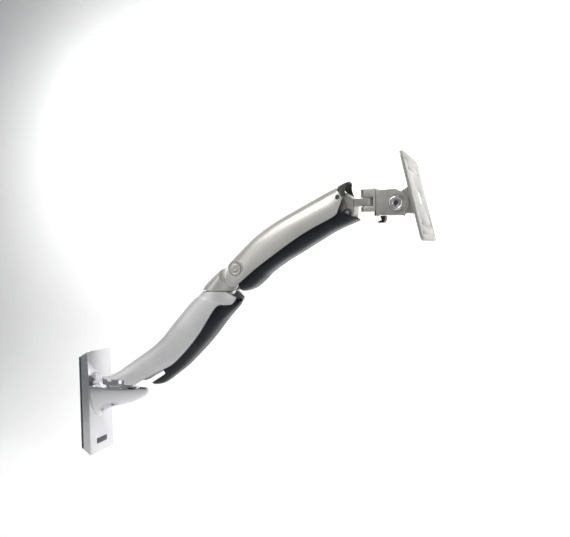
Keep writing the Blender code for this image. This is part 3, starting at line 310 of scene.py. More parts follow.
replaced = set()             # CAD nodes that a fine piece stands for


# ---------------------------------------------------------------- mesh helpers
def add_mesh(name, shape):
    bmesh.ops.recalc_face_normals(shape, faces=shape.faces)
    data = bpy.data.meshes.new(name)
    shape.to_mesh(data)
    shape.free()
    obj = bpy.data.objects.new(name, data)
    bpy.context.scene.collection.objects.link(obj)
    return obj


def baked(obj):
    """The piece with its modifiers and placement applied."""
    bpy.context.view_layer.update()
    depsgraph = bpy.context.evaluated_depsgraph_get()
    data = bpy.data.meshes.new_from_object(obj.evaluated_get(depsgraph))
    data.transform(obj.matrix_world)
    name = obj.name
    bpy.data.objects.remove(obj)
    made = bpy.data.objects.new(name, data)
    bpy.context.scene.collection.objects.link(made)
    return made


def combine(obj, other, operation):
    step = obj.modifiers.new("shape", "BOOLEAN")
    step.operation = operation
    step.object = other
    step.solver = "EXACT"
    made = baked(obj)
    bpy.data.objects.remove(other)
    return made


def cut(obj, other):
    return combine(obj, other, "DIFFERENCE")


def join(obj, other):
    return combine(obj, other, "UNION")


def bevelled(obj, width, segments=3, angle=30.0):
    step = obj.modifiers.new("bevel", "BEVEL")
    step.width = width
    step.segments = segments
    step.limit_method = "ANGLE"
    step.angle_limit = math.radians(angle)
    step.use_clamp_overlap = True
    return baked(obj)


def place(obj, node, skin=None, smooth_angle=32.0):
    """Finishes a piece: smooth shading, the node's material, body and slot."""
    obj.data.materials.clear()
    obj.data.materials.append(skin or SKINS[SLOT_OF[node]])
    for face in obj.data.polygons:
        face.use_smooth = True
    obj.data.set_sharp_from_angle(angle=math.radians(smooth_angle))
    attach(obj, BODY_OF[node])
    if node not in replaced:
        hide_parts(node)
        replaced.add(node)


def block(name, low, high):
    low, high = Vector(low), Vector(high)
    shape = bmesh.new()
    bmesh.ops.create_cube(shape, size=1.0)
    bmesh.ops.scale(shape, vec=high - low, verts=shape.verts)
    bmesh.ops.translate(shape, vec=(low + high) / 2, verts=shape.verts)
    return add_mesh(name, shape)


def rod(name, start, end, radius, sides=48):
    start, end = Vector(start), Vector(end)
    shape = bmesh.new()
    bmesh.ops.create_cone(shape, cap_ends=True, segments=sides, radius1=radius, radius2=radius,
                          depth=(end - start).length)
    turn = (end - start).to_track_quat("Z", "Y").to_matrix().to_4x4()
    bmesh.ops.transform(shape, matrix=Matrix.Translation((start + end) / 2) @ turn, verts=shape.verts)
    return add_mesh(name, shape)


def drill(obj, start, end, radius, sides=48):
    return cut(obj, rod("drill", start, end, radius, sides))


def drill_across(obj, at, radius, sides=48, reach=THROUGH):
    return drill(obj, at - Y_AXIS * reach, at + Y_AXIS * reach, radius, sides)


def turned(name, profile, at, direction, sides=64):
    """A turned piece from a (radius, height) profile; radius 0 closes it on the axis."""
    shape = bmesh.new()
    rings = []
    for radius, height in profile:
        if radius < 1e-7:
            rings.append([shape.verts.new((0, 0, height))])
        else:
            rings.append([shape.verts.new((radius * math.cos(2 * math.pi * k / sides),
                                           radius * math.sin(2 * math.pi * k / sides), height))
                          for k in range(sides)])
    pairs = list(zip(rings, rings[1:]))
    if profile[0][0] > 0 and profile[-1][0] > 0:
        pairs.append((rings[-1], rings[0]))
    for first, second in pairs:
        for k in range(sides):
            after = (k + 1) % sides
            if len(first) == 1 and len(second) > 1:
                shape.faces.new((first[0], second[k], second[after]))
            elif len(second) == 1 and len(first) > 1:
                shape.faces.new((first[k], second[0], first[after]))
            elif len(first) > 1:
                shape.faces.new((first[k], second[k], second[after], first[after]))
    turn = Vector(direction).to_track_quat("Z", "Y").to_matrix().to_4x4()
    bmesh.ops.transform(shape, matrix=Matrix.Translation(at) @ turn, verts=shape.verts)
    return add_mesh(name, shape)


def arc(centre, radius, start, end, steps):
    return [(centre[0] + radius * math.cos(math.radians(start + (end - start) * i / steps)),
             centre[1] + radius * math.sin(math.radians(start + (end - start) * i / steps)))
            for i in range(steps + 1)]


def hull(circles, steps=12):
    """Outline that wraps a list of (centre, radius) circles."""
    cloud = [p for centre, radius in circles for p in arc(centre, radius, 0, 360, 4 * steps)[:-1]]
    cloud = sorted(set((round(a, 7), round(b, 7)) for a, b in cloud))

    def half(points):
        chain = []
        for p in points:
            while len(chain) > 1 and ((chain[-1][0] - chain[-2][0]) * (p[1] - chain[-2][1])
                                      - (chain[-1][1] - chain[-2][1]) * (p[0] - chain[-2][0])) <= 0:
                chain.pop()
            chain.append(p)
        return chain[:-1]

    return half(cloud) + half(cloud[::-1])


def outline(name, points, low, high, plane="XZ"):
    """A flat outline thickened between two levels."""
    shape = bmesh.new()
    loops = []
    for level in (low, high):
        if plane == "XZ":
            loops.append([shape.verts.new((a, level, b)) for a, b in points])
        elif plane == "XY":
            loops.append([shape.verts.new((a, b, level)) for a, b in points])
        else:
            loops.append([shape.verts.new((level, a, b)) for a, b in points])
    for k in range(len(points)):
        after = (k + 1) % len(points)
        shape.faces.new((loops[0][k], loops[0][after], loops[1][after], loops[1][k]))
    shape.faces.new(loops[0])
    shape.faces.new(loops[1])
    return add_mesh(name, shape)


def smooth(rows, steps):
    """Catmull-Rom rows between the given rows of numbers."""
    result = []
    last = len(rows) - 1
    for i in range(last):
        before, here = rows[max(i - 1, 0)], rows[i]
        there, after = rows[i + 1], rows[min(i + 2, last)]
        for k in range(steps):
            t = k / steps
            result.append(tuple(
                0.5 * (2 * b + (c - a) * t + (2 * a - 5 * b + 4 * c - d) * t * t
                       + (3 * b - a - 3 * c + d) * t ** 3)
                for a, b, c, d in zip(before, here, there, after)))
    result.append(tuple(rows[-1]))
    return result


def channel(name, rows, roundness, wall, steps=5, count=36, rim=0.0006):
    """An arched channel lofted along rows of (rim x, rim z, spine x, spine z, half width, pinch)."""
    shape = bmesh.new()
    loops = []
    for rim_x, rim_z, spine_x, spine_z, half, pinch in smooth(rows, steps):
        loop = []
        for k in range(count + 1):
            angle = math.pi * k / count
            rise = abs(math.sin(angle)) ** (2 / roundness)
            across = -half * math.copysign(abs(math.cos(angle)) ** (2 / roundness), math.cos(angle))
            across *= 1 - pinch * (1 - rise) ** 4
            loop.append(shape.verts.new((rim_x + (spine_x - rim_x) * rise, across,
                                         rim_z + (spine_z - rim_z) * rise)))
        loops.append(loop)
    for first, second in zip(loops, loops[1:]):
        for k in range(count):
            shape.faces.new((first[k], first[k + 1], second[k + 1], second[k]))
    obj = add_mesh(name, shape)
    outward = sum(face.normal.y * face.center.y * face.area for face in obj.data.polygons) > 0
    solid = obj.modifiers.new("wall", "SOLIDIFY")
    solid.thickness = wall
    solid.offset = -1.0 if outward else 1.0
    solid.use_even_offset = True
    obj = baked(obj)
    return bevelled(obj, rim, 2, 50.0) if rim else obj


def loft(name, loops):
    """A closed solid through loops of points of equal count."""
    shape = bmesh.new()
    made = [[shape.verts.new(point) for point in loop] for loop in loops]
    count = len(made[0])
    for first, second in zip(made, made[1:]):
        for k in range(count):
            after = (k + 1) % count
            shape.faces.new((first[k], first[after], second[after], second[k]))
    shape.faces.new(made[0][::-1])
    shape.faces.new(made[-1])
    return add_mesh(name, shape)


# ---------------------------------------------------------------- wall side
def wall_side():
    half, tall = PLATE_HIGH[1], PLATE_HIGH[2]
    near, face = PLATE_LOW[0], PLATE_HIGH[0]
    slope = 0.0115 * (face - near) / face
    points = [(near, -tall + slope), (face, -tall), (face, tall), (near, tall - slope)]
    cover = bevelled(outline("wall_cover_shell", points, -half, half), 0.0016, 4)
    badge_low, badge_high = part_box("blank_badge")
    cover = cut(cover, block("recess", (face - 0.0008, badge_low[1] - GAP, badge_low[2] - GAP),
                             (face + 0.01, badge_high[1] + GAP, badge_high[2] + GAP)))
    place(cover, "wall_cover")
    badge = bevelled(block("badge_plate", badge_low, badge_high), 0.0003, 2)
    place(badge, "blank_badge")

    top = BASE.z - BRACKET_DROP
    nose = BASE.x + 0.056
    # x, half width, depth below the top
    rows = [(face - 0.006, 0.0272, 0.0590), (face + 0.0005, 0.0272, 0.0590),
            (face + 0.0020, 0.0270, 0.0578), (face + 0.0080, 0.0268, 0.0508),
            (face + 0.0210, 0.0264, 0.0428), (BASE.x - 0.006, 0.0259, 0.0364),
            (BASE.x + 0.012, 0.0244, 0.0319), (BASE.x + 0.030, 0.0204, 0.0259),
            (BASE.x + 0.044, 0.0149, 0.0194), (nose - 0.005, 0.0100, 0.0148),
            (nose - 0.0006, 0.0046, 0.0096), (nose, 0.0024, 0.0072)]
    loops = []
    steps = 48
    for x, wide, depth in smooth(rows, 4):
        loop = []
        for k in range(steps + 1):
            angle = math.pi * k / steps
            side = -wide * math.copysign(abs(math.cos(angle)) ** 0.92, math.cos(angle))
            loop.append((x, side, top - depth * math.sin(angle)))
        loops.append(loop)
    horn = bevelled(loft("bracket_horn", loops), 0.0011, 3, 45.0)
    boss_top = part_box("swivel_bracket")[1][2]
    boss = turned("bracket_boss", [(0, boss_top), (0.0252, boss_top), (0.0258, boss_top - 0.0006),
                                   (0.0260, top - 0.003), (0, top - 0.003)], (BASE.x, 0, 0), Z_AXIS, 96)
    place(horn, "swivel_bracket")
    place(boss, "swivel_bracket")


# ---------------------------------------------------------------- extension
def placed_rows(table):
    """Channel rows from (way from base to elbow, spine offset, rim offset, half width, pinch)."""
    rows = []
    for fraction, spine, rim, half, pinch in table:
        at = between(fraction)
        rows.append((at.x + rim[0], at.z + rim[1], at.x + spine[0], at.z + spine[1], half, pinch))
    return rows


def extension():
    full = EXT_HALF
    table = [(0.0, (-0.0275, 0.0115), (-0.0260, 0.0035), full - 0.0070, 0),
             (0.0, (-0.0195, 0.0145), (-0.0135, 0.0015), full - 0.0035, 0),
             (0.0, (-0.0005, 0.0195), (0.0085, 0.0010), full - 0.0035, 0),
             (0.1, (0.0042, 0.0187), (0.0190, -0.0140), full - 0.0060, 0),
             (0.2, (0.0040, 0.0154), (0.0218, -0.0190), full - 0.0075, 0),
             (0.33, (0.0013, 0.0093), (0.0220, -0.0265), full - 0.0070, 0),
             (0.47, (-0.0009, 0.0061), (0.0236, -0.0355), full - 0.0045, 0),
             (0.6, (-0.0070, 0.0058), (0.0212, -0.0370), full - 0.0020, 0),
             (0.7, (-0.0130, 0.0041), (0.0210, -0.0335), full, 0),
             (0.8, (-0.0179, 0.0036), (0.0155, -0.0325), full, 0),
             (0.9, (-0.0272, -0.0017), (0.0070, -0.0320), full, 0),
             (1.0, (-0.0360, -0.0090), (0.0080, -0.0215), full, 0),
             (1.0, (-0.0310, -0.0045), (0.0300, -0.0195), full, 0.28),
             (1.0, (-0.0262, -0.0005), (0.0400, -0.0005), full, 0.5)]
    shell = channel("extension_body", placed_rows(table), 4.0, EXT_WALL, 5, 44, 0)
    slope = [(ELBOW.x + x, ELBOW.z + z)
             for x, z in ((0.0215, -0.0005), (0.0600, -0.0255), (0.0600, 0.0100), (0.0215, 0.0100))]
    shell = cut(shell, outline("relief", slope, -THROUGH, THROUGH))
    shell = bevelled(shell, 0.0005, 2, 50.0)
    place(shell, "extension_shell", SATIN, smooth_angle=40)
    floor = 0.005
    profile = [(SWIVEL_BORE_R, floor), (SWIVEL_BORE_R, 0.0), (CUP_RADIUS - 0.0006, 0.0),
               (CUP_RADIUS, 0.0006), (CUP_RADIUS, 0.0086), (CUP_RADIUS - 0.0004, 0.0097),
               (CUP_RADIUS - 0.0014, 0.0104), (CUP_RADIUS - 0.0036, 0.0104),
               (CUP_RADIUS - 0.0040, 0.0100), (CUP_RADIUS - 0.0040, floor)]
    place(turned("extension_cup", profile, BASE, Z_AXIS, 96), "extension_shell")
    plan = hull([((ELBOW.x, 0.0), 0.0245), ((ELBOW.x - 0.0070, 0.0), 0.0185)], 16)
    seat = outline("elbow_seat", plan, ELBOW.z - floor, ELBOW.z, "XY")
    seat = drill(seat, ELBOW - Z_AXIS * 0.01, ELBOW + Z_AXIS * 0.01, SWIVEL_BORE_R)
    place(bevelled(seat, 0.0004, 2), "extension_shell")

    full = EXT_HALF - EXT_WALL - GAP
    table = [(0.25, (0.0290, -0.0375), (0.0140, -0.0235), full - 0.0073, 0),
             (0.3, (0.0338, -0.0418), (0.0170, -0.0240), full - 0.0072, 0),
             (0.4, (0.0347, -0.0434), (0.0185, -0.0250), full - 0.0058, 0),
             (0.5, (0.0349, -0.0443), (0.0180, -0.0270), full - 0.0040, 0),
             (0.6, (0.0333, -0.0432), (0.0172, -0.0270), full - 0.0020, 0),
             (0.7, (0.0319, -0.0410), (0.0165, -0.0250), full, 0),
             (0.8, (0.0290, -0.0385), (0.0120, -0.0240), full, 0),
             (0.9, (0.0255, -0.0350), (0.0080, -0.0220), full, 0),
             (1.0, (0.0215, -0.0345), (0.0060, -0.0150), 0.0200, 0),
             (1.0, (0.0330, -0.0235), (0.0240, -0.0145), 0.0130, 0),
             (1.0, (0.0370, -0.0175), (0.0325, -0.0125), 0.0070, 0)]
    cover = channel("cable_cover_body", placed_rows(table), 3.0, COVER_WALL, 5, 36, 0)
    # the open window above the cover's free tongue
    end = between(0.374) + Vector((0.0285, 0, -0.0352))
    slope = math.radians(31.7)
    along = Vector((math.cos(slope), 0, math.sin(slope)))
    up = Vector((-along.z, 0, along.x))
    corner = 0.0022
    window = [xz(end - along * 0.080), xz(end - along * corner),
              xz(end - along * corner * 0.3 + up * corner * 0.3),
              xz(end + up * corner), xz(end + up * 0.030), xz(end - along * 0.080 + up * 0.050)]
    cover = cut(cover, outline("window", window, -THROUGH, THROUGH))
    place(bevelled(cover, 0.0006, 3, 50.0), "extension_cable_cover", smooth_angle=40)


# ---------------------------------------------------------------- shoulder
def shoulder():
    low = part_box("shoulder_yoke")[0][2]
    # centre, reach to the left, half width, height above the elbow plane
    rows = [(-0.0010, 0.0275, 0.0275, 0.0), (0.0040, 0.0270, 0.0272, 0.0080),
            (0.0155, 0.0240, 0.0262, 0.0215), (0.0234, 0.0200, 0.0240, 0.0305),
            (0.0290, 0.0160, 0.0210, 0.0352)]
    right_edge = SHOULDER.x - ELBOW.x - 0.005
    sides = 96
    loops = []
    for centre, left, half, rise in smooth(rows, 6):
        loop = []
        for k in range(sides):
            angle = 2 * math.pi * k / sides
            reach = (right_edge - centre if math.cos(angle) > 0 else left) * math.cos(angle)
            loop.append((ELBOW.x + centre + reach, half * math.sin(angle), low + rise))
        loops.append(loop)
    body = drill_across(loft("shoulder_cup", loops), SHOULDER, SWEEP_R, 128)
    place(bevelled(body, 0.0008, 3, 40.0), "shoulder_yoke", smooth_angle=40)
    eye = 0.0100
    post = hull([(xz(SHOULDER), eye), ((ELBOW.x + 0.018, low + 0.0075), 0.006),
                 ((SHOULDER.x - 0.011, low + 0.0065), 0.006)], 16)
    arch = hull([(xz(SHOULDER), eye), (xz(LINK_REAR), 0.0062)], 16)
    for side, word in ((-1, "near"), (1, "far")):
        inner, outer = sorted((side * CHEEK_INNER, side * CHEEK_OUTER))
        for kind, points in (("post", post), ("arch", arch)):
            shift = 0.0002 if kind == "arch" else 0.0
            piece = outline(f"shoulder_{kind}_{word}", points, inner + shift, outer - shift)
            piece = drill_across(piece, SHOULDER, PIVOT_BORE_R)
            if kind == "arch":
                piece = drill_across(piece, LINK_REAR, LINK_BORE_R)
            place(bevelled(piece, 0.0005, 2, 50.0), "shoulder_yoke")


# ---------------------------------------------------------------- upper arm
def arm_rows(table, at):
    """Channel rows from (rim u, rim v, spine u, spine v, half width) along the arm."""
    rows = []
    for rim_u, rim_v, spine_u, spine_v, half in table:
        rim, spine = at(rim_u, rim_v), at(spine_u, spine_v)
        rows.append((rim.x, rim.z, spine.x, spine.z, half, 0))
    return rows


def upper_arm():
    end, full = ARM_LENGTH, ARM_HALF
    table = [(-0.0272, -0.0105, -0.0060, 0.0180, full), (-0.0205, -0.0205, 0.0020, 0.0205, full),
             (-0.0080, -0.0220, 0.0140, 0.0230, full), (0.0180, -0.0190, 0.0330, 0.0265, full),
             (0.0400, -0.0173, 0.0540, 0.0292, full), (0.0760, -0.0158, 0.0860, 0.0292, full),
             (0.1100, -0.0151, 0.1180, 0.0262, full), (end - 0.0510, -0.0168, end - 0.0440, 0.0228, full),
             (end - 0.0180, -0.0200, end - 0.0200, 0.0203, full),
             (end - 0.0080, -0.0150, end - 0.0050, 0.0183, full - 0.0005),
             (end + 0.0055, -0.0046, end + 0.0030, 0.0168, full - 0.001)]
    shell = channel("upper_arm_shell", arm_rows(table, on_arm), 2.7, ARM_WALL, 6, 44, 0)
    hub_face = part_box("pivot_cap_far")[1][1] - 0.0006
    for side in (-1, 1):
        shell = drill(shell, SHOULDER + Y_AXIS * side * 0.015, SHOULDER + Y_AXIS * side * 0.05, 0.0118, 64)
        shell = drill(shell, FRONT + Y_AXIS * side * 0.015, FRONT + Y_AXIS * side * 0.05, 0.0036, 32)
    place(bevelled(shell, 0.0006, 3, 50.0), "arm_upper_shell", smooth_angle=40)
    for side, word in ((-1, "near"), (1, "far")):
        outward = Y_AXIS * side
        profile = [(0.0074, 0.0146), (0.0119, 0.0146), (0.0125, 0.0152), (0.0125, hub_face - 0.0008),
                   (0.0117, hub_face), (0.0107, hub_face), (0.0101, hub_face - 0.0006),
                   (0.0101, hub_face - 0.0019), (0.0074, hub_face - 0.0019)]
        place(turned(f"arm_hub_{word}", profile, SHOULDER, outward, 96), "arm_upper_shell")
        cap_node = f"pivot_cap_{word}"
        seat = hub_face - 0.0016
        profile = [(0, 0.0003), (0.0092, 0.0003), (0.0096, 0.0007), (0.0096, 0.0017), (0.0091, 0.0022),
                   (0.0079, 0.0021), (0.0074, 0.0017), (0.0068, 0.0017), (0.0064, 0.0020),
                   (0.0018, 0.0021), (0.0014, 0.0018), (0.0012, 0.0010), (0, 0.0009)]
        cap = turned(f"pivot_button_{word}", profile, SHOULDER + outward * seat, outward, 96)
        place(cap, cap_node, smooth_angle=50)
        # a dark ring in the gap between the button and the hub: painted shade of the gap
        profile = [(0.0095, 0.0), (0.0101, 0.0), (0.0101, 0.0008), (0.0095, 0.0008)]
        groove_shade = turned(f"pivot_gap_shade_{word}", profile, SHOULDER + outward * (seat + 0.0005), outward, 96)
        place(groove_shade, cap_node, DARK_STEEL_AND_SHADE)
        # a short curved slot in the button's face, drawn as a dark inlay: painted shade of the slot
        at = xz(SHOULDER)
        slot = arc(at, 0.0044, 250, 345, 16) + arc(at, 0.0036, 250, 345, 16)[::-1]
        slot_shade = outline(f"pivot_slot_shade_{word}", slot, *sorted((side * (seat + 0.0018), side * (seat + 0.0022))))
        place(slot_shade, cap_node, DARK_STEEL_AND_SHADE)

    table = [(end + 0.0088, -0.0045, end + 0.0054, 0.0164, 0.0244),
             (end + 0.0112, -0.0035, end + 0.0115, 0.0159, 0.0232),
             (end + 0.0130, 0.0020, end + 0.0175, 0.0150, 0.0205),
             (end + 0.0145, 0.0070, end + 0.0225, 0.0135, 0.0160)]
    visor = channel("end_cap_visor", arm_rows(table, on_arm), 2.7, ARM_WALL, 5, 36)
    place(visor, "arm_end_cap", smooth_angle=40)


# ---------------------------------------------------------------- the lower link's cover
def lower_cover():
    end, half = ARM_LENGTH, LINK_COVER_HALF
    table = [(-0.0090, 0.0045, -0.0125, -0.0085, half - 0.0008), (-0.0020, 0.0045, -0.0060, -0.0110, half),
             (0.0080, 0.0060, 0.0070, -0.0123, half), (0.0220, 0.0105, 0.0240, -0.0100, half),
             (0.0400, 0.0110, 0.0400, -0.0066, half), (0.0700, 0.0110, 0.0700, -0.0056, half),
             (0.1000, 0.0110, 0.1000, -0.0070, half), (0.1300, 0.0110, 0.1300, -0.0080, half),
             (end - 0.0320, 0.0100, end - 0.0320, -0.0096, half),
             (end - 0.0110, 0.0078, end - 0.0060, -0.0140, half - 0.0007),
             (end - 0.0005, -0.0010, end + 0.0050, -0.0160, half - 0.0018)]
    cover = channel("lower_cover_body", arm_rows(table, on_link), 3.2, LINK_COVER_WALL, 6, 40)
    place(cover, "arm_lower_cover", smooth_angle=40)


# ---------------------------------------------------------------- front bracket and head
def front_bracket():
    low, high = PAN.z - TONGUE_HALF_THICK, PAN.z + TONGUE_HALF_THICK
    link_front = LINK_REAR + FRONT - SHOULDER
    right = PAN.x - 0.0190
    corner = 0.003
    profile = hull([(xz(FRONT), 0.0095), (xz(link_front), 0.0085),
                    ((right - corner, link_front.z + 0.002), corner),
                    ((right - corner, FRONT.z - 0.004), corner)], 12)
    lug = outline("front_lug", profile, -LUG_HALF, LUG_HALF)
    plan = hull([((PAN.x, 0.0), TONGUE_HALF), ((FRONT.x + 0.0165, 0.0), TONGUE_HALF)], 16)
    lug = join(lug, outline("tongue", plan, low, high, "XY"))
    lug = drill_across(lug, FRONT, 0.0038, 32)
    lug = drill_across(lug, link_front, LINK_BORE_R, 32)
    lug = drill(lug, (PAN.x, 0, low - 0.01), (PAN.x, 0, high + 0.01), 0.0045, 40)
    place(bevelled(lug, 0.0009, 3, 40.0), "front_bracket")


def head():
    low, high = PAN.z - TONGUE_HALF_THICK, PAN.z + TONGUE_HALF_THICK
    play, half, corner = 0.0016, HEAD_HALF, 0.001
    wall_x, flange_x = PAN.x + TONGUE_HALF + 0.0008, TILT.x - 0.030
    bottom, top = low - play - EAR_LOWER, high + play + EAR_UPPER
    plan = hull([((PAN.x, 0.0), 0.011), ((flange_x - corner, half - corner), corner),
                 ((flange_x - corner, -half + corner), corner)], 14)
    clevis = outline("pan_fork", plan, bottom, top, "XY")
    clevis = cut(clevis, block("slot", (PAN.x - 0.02, -0.02, low - play), (wall_x, 0.02, high + play)))
    clevis = drill(clevis, (PAN.x, 0, bottom - 0.01), (PAN.x, 0, top + 0.01), 0.0043, 40)
    clevis = drill(clevis, (PAN.x, 0, top - 0.0055), (PAN.x, 0, top + 0.01), 0.0068, 48)
    place(bevelled(clevis, 0.0006, 3, 40.0), "pan_clevis")
    groove_shade, inset = 0.0022, 0.0012
    flange = block("pan_flange", (wall_x + 0.002, -half, bottom - 0.0075), (flange_x - groove_shade, half, top))
    place(bevelled(flange, 0.0007, 3), "pan_clevis")
    # a dark block filling the groove between the flange and the tilt block: painted shade of the groove
    groove_fill_shade = block("pan_groove_fill_shade", (flange_x - groove_shade, -half + inset, bottom - 0.0060),
                   (flange_x, half - inset, top - inset))
    place(bevelled(groove_fill_shade, 0.0004, 2), "pan_clevis", DARK_STEEL_AND_SHADE)

    face_x = flange_x + GAP
    body_low, body_high = bottom - 0.0035, top - 0.0045
    crown = hull([(xz(TILT), TILT_EAR_R), ((face_x + 0.002, body_low), 0.002),
                  ((face_x + 0.002, body_high), 0.002), ((TILT.x - 0.002, body_high + 0.001), 0.001)], 16)
    knuckle = outline("tilt_knuckle", crown, -half, half)
    slot_half = YOKE_OUTER + GAP
    knuckle = cut(knuckle, block("slot", (TILT.x - 0.0165, -slot_half, TILT.z - 0.03),
                                 (TILT.x + 0.03, slot_half, TILT.z + 0.03)))
    knuckle = drill_across(knuckle, TILT, 0.0043, 40, 0.03)
    pocket = hull([((face_x + 0.0060, -0.0035), 0.0022), ((face_x + 0.0125, -0.0035), 0.0022)], 8)
    knuckle = cut(knuckle, outline("pocket", pocket, body_high - 0.0012, body_high + 0.01, "XY"))
    place(bevelled(knuckle, 0.0008, 3, 40.0), "tilt_block")

    bolt_low, bolt_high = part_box("tilt_bolt")
    head_tall = 0.0055
    outward = -Y_AXIS
    head_base = TILT + outward * (-bolt_low[1] - head_tall)
    profile = [(0, 0.0), (0.0094, 0.0), (0.0098, 0.0004), (0.0098, 0.0040), (0.0092, 0.0052),
               (0.0080, head_tall), (0.0068, 0.0051), (0.0062, 0.0044), (0, 0.0044)]
    bolt = turned("tilt_bolt_head", profile, head_base, outward, 96)
    bolt = cut(bolt, rod("socket", head_base + outward * 0.0006, head_base + outward * 0.01, 0.0040, 6))
    place(bevelled(bolt, 0.0002, 2, 40.0), "tilt_bolt")
    shank = rod("tilt_bolt_shank", head_base + outward * 0.0001, TILT + Y_AXIS * bolt_high[1], 0.004, 40)
    place(bevelled(shank, 0.0004, 2, 60.0), "tilt_bolt")
    # a dark disc at the bottom of the hex socket: painted shade inside the socket
    socket = rod("tilt_socket_shade", head_base + outward * 0.0007, head_base + outward * 0.0012, 0.0034, 24)
    place(socket, "tilt_bolt", DARK_STEEL_AND_SHADE)

    far = WEB_NEAR + WEB_THICK
    edge = WEB_TALL - 0.003
    cheek = hull([(xz(TILT), 0.0125), (xz(on_head(far - 0.003, edge)), 0.002),
                  (xz(on_head(far - 0.003, -edge)), 0.002)], 14)
    for side, word in ((-1, "near"), (1, "far")):
        plate = outline(f"yoke_cheek_{word}", cheek, *sorted((side * YOKE_INNER, side * YOKE_OUTER)))
        plate = drill_across(plate, TILT, 0.0045, 40, 0.03)
        place(bevelled(plate, 0.0005, 3, 40.0), "tilt_yoke")
    turn = Matrix.Rotation(-math.atan2(DISPLAY_DIR.z, DISPLAY_DIR.x), 4, "Y")
    web = block("yoke_web", (WEB_NEAR, -WEB_HALF, -WEB_TALL), (far, WEB_HALF, WEB_TALL))
    web.data.transform(Matrix.Translation(TILT) @ turn)
    web = drill(web, on_head(0.010, 0), on_head(0.030, 0), 0.0037, 32)
    place(bevelled(web, 0.0006, 3, 50.0), "tilt_yoke")

    face_near = far + GAP + DISC_THICK + GAP
    corner = 0.008
    inner = FACE_HALF - corner
    square = hull([((y, z), corner) for y in (-inner, inner) for z in (-inner, inner)], 10)
    plate = outline("display_face", square, 0, FACE_THICK, "YZ")
    for pitch in HOLE_PITCHES:
        for y in (-pitch / 2, pitch / 2):
            for z in (-pitch / 2, pitch / 2):
                plate = drill(plate, (-0.01, y, z), (0.02, y, z), 0.0025, 24)
    plate = drill(plate, (-0.01, 0, 0), (0.02, 0, 0), 0.0035, 40)
    plate = drill(plate, (FACE_THICK - 0.0019, 0, 0), (0.02, 0, 0), 0.0093, 48)
    plate.data.transform(Matrix.Translation(on_head(face_near, 0)) @ turn)
    place(bevelled(plate, 0.0004, 2, 50.0), "display_plate")


def hardware():
    """The remaining CAD nodes keep their shape and get a fine edge and their finish."""
    for name, node in NODES.items():
        node.data.materials.clear()
        node.data.materials.append(SKINS[SLOT_OF[name]])
        for face in node.data.polygons:
            face.use_smooth = True
        node.data.set_sharp_from_angle(angle=math.radians(35))
        if name in replaced or name == "tilt_spring":
            continue
        step = node.modifiers.new("edge", "BEVEL")
        step.width = 0.00025
        step.segments = 2
        step.limit_method = "ANGLE"
        step.angle_limit = math.radians(50)


wall_side()
extension()
shoulder()
upper_arm()
lower_cover()
front_bracket()
head()
hardware()


# ---------------------------------------------------------------- stage, light and camera
def stage():
    low, back, bend = -0.55, 1.35, 0.5
    shape = bmesh.new()
    profile = [(-4.0, low), (back - bend, low)]
    profile += arc((back - bend, low + bend), bend, -90, 0, 16)[1:]
    profile += [(back, 3.5)]
    rows = [[shape.verts.new((x, y, z)) for y, z in profile] for x in (-5.0, 6.0)]
    for k in range(len(profile) - 1):
        shape.faces.new((rows[0][k], rows[1][k], rows[1][k + 1], rows[0][k + 1]))
    floor = add_mesh("stage_floor", shape)
    for face in floor.data.polygons:
        face.use_smooth = True
    paper = Look("stage_paper", (0.90, 0.90, 0.90), 0.85)
    paper.vary_colour(paper.noise(3.0, 2.0), (0.88, 0.88, 0.88))
    floor.data.materials.append(paper.material)


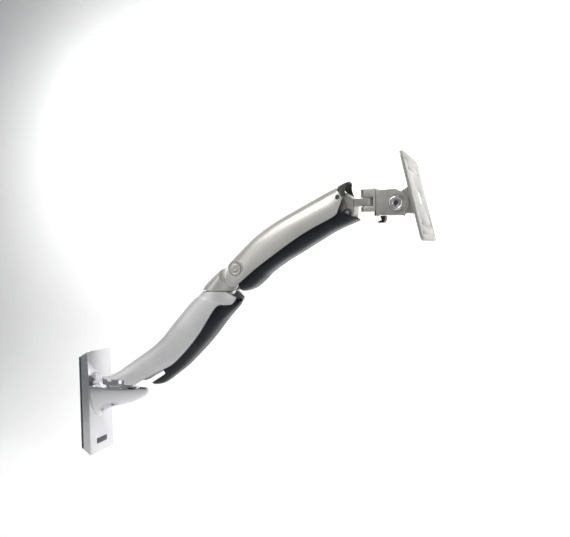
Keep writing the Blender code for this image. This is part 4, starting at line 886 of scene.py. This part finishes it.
def area(name, place_at, target, size, power, colour=(1, 1, 1)):
    lamp = bpy.data.lights.new(name, "AREA")
    lamp.shape = "RECTANGLE"
    lamp.size, lamp.size_y = size
    lamp.energy = power
    lamp.color = colour
    obj = bpy.data.objects.new(name, lamp)
    obj.location = place_at
    obj.rotation_euler = (Vector(target) - Vector(place_at)).to_track_quat("-Z", "Y").to_euler()
    bpy.context.scene.collection.objects.link(obj)


def light():
    world = bpy.data.worlds.new("studio")
    bpy.context.scene.world = world
    world.use_nodes = True
    sky = world.node_tree.nodes["Background"]
    sky.inputs["Color"].default_value = (0.95, 0.97, 1.0, 1)
    sky.inputs["Strength"].default_value = 0.24
    centre = (0.33, 0, 0.2)
    area("key", (-0.35, -0.95, 1.25), centre, (0.9, 0.6), 9.5, (1.0, 0.985, 0.95))
    area("top", (0.5, 0.15, 1.6), centre, (1.6, 0.8), 5)
    area("backdrop_left", (-0.75, 0.50, 0.95), (-0.6, 1.45, 0.35), (1.2, 0.5), 16)
    area("backdrop_right", (0.9, 0.55, 0.9), (0.5, 1.45, 0.1), (0.9, 0.5), 13)
    area("fill", (1.0, -1.6, 0.35), centre, (0.5, 0.9), 2.5)
    area("side", (-0.9, -1.1, 0.45), (0.15, 0, 0.1), (0.9, 0.7), 2.0)
    bpy.context.scene.view_settings.view_transform = "Standard"


CAMERA_AT = Vector((0.710, -0.769, 0.263))
FOCAL_PIXELS, IMAGE_WIDTH, SENSOR = 550.0, 570.0, 36.0


def camera():
    yaw, pitch, roll = math.radians(23.0), math.radians(2.0), math.radians(-1.1)
    forward = Vector((-math.sin(yaw) * math.cos(pitch), math.cos(yaw) * math.cos(pitch), -math.sin(pitch)))
    level = Vector((math.cos(yaw), math.sin(yaw), 0))
    above = level.cross(forward)
    right = level * math.cos(roll) + above * math.sin(roll)
    up = above * math.cos(roll) - level * math.sin(roll)
    data = bpy.data.cameras.new("camera")
    data.sensor_width = SENSOR
    data.sensor_fit = "HORIZONTAL"
    data.lens = FOCAL_PIXELS * SENSOR / IMAGE_WIDTH
    data.clip_start = 0.01
    obj = bpy.data.objects.new("camera", data)
    turn = Matrix((right, up, -forward)).transposed()
    obj.matrix_world = Matrix.Translation(CAMERA_AT) @ turn.to_4x4()
    bpy.context.scene.collection.objects.link(obj)
    bpy.context.scene.camera = obj


stage()
light()
camera()
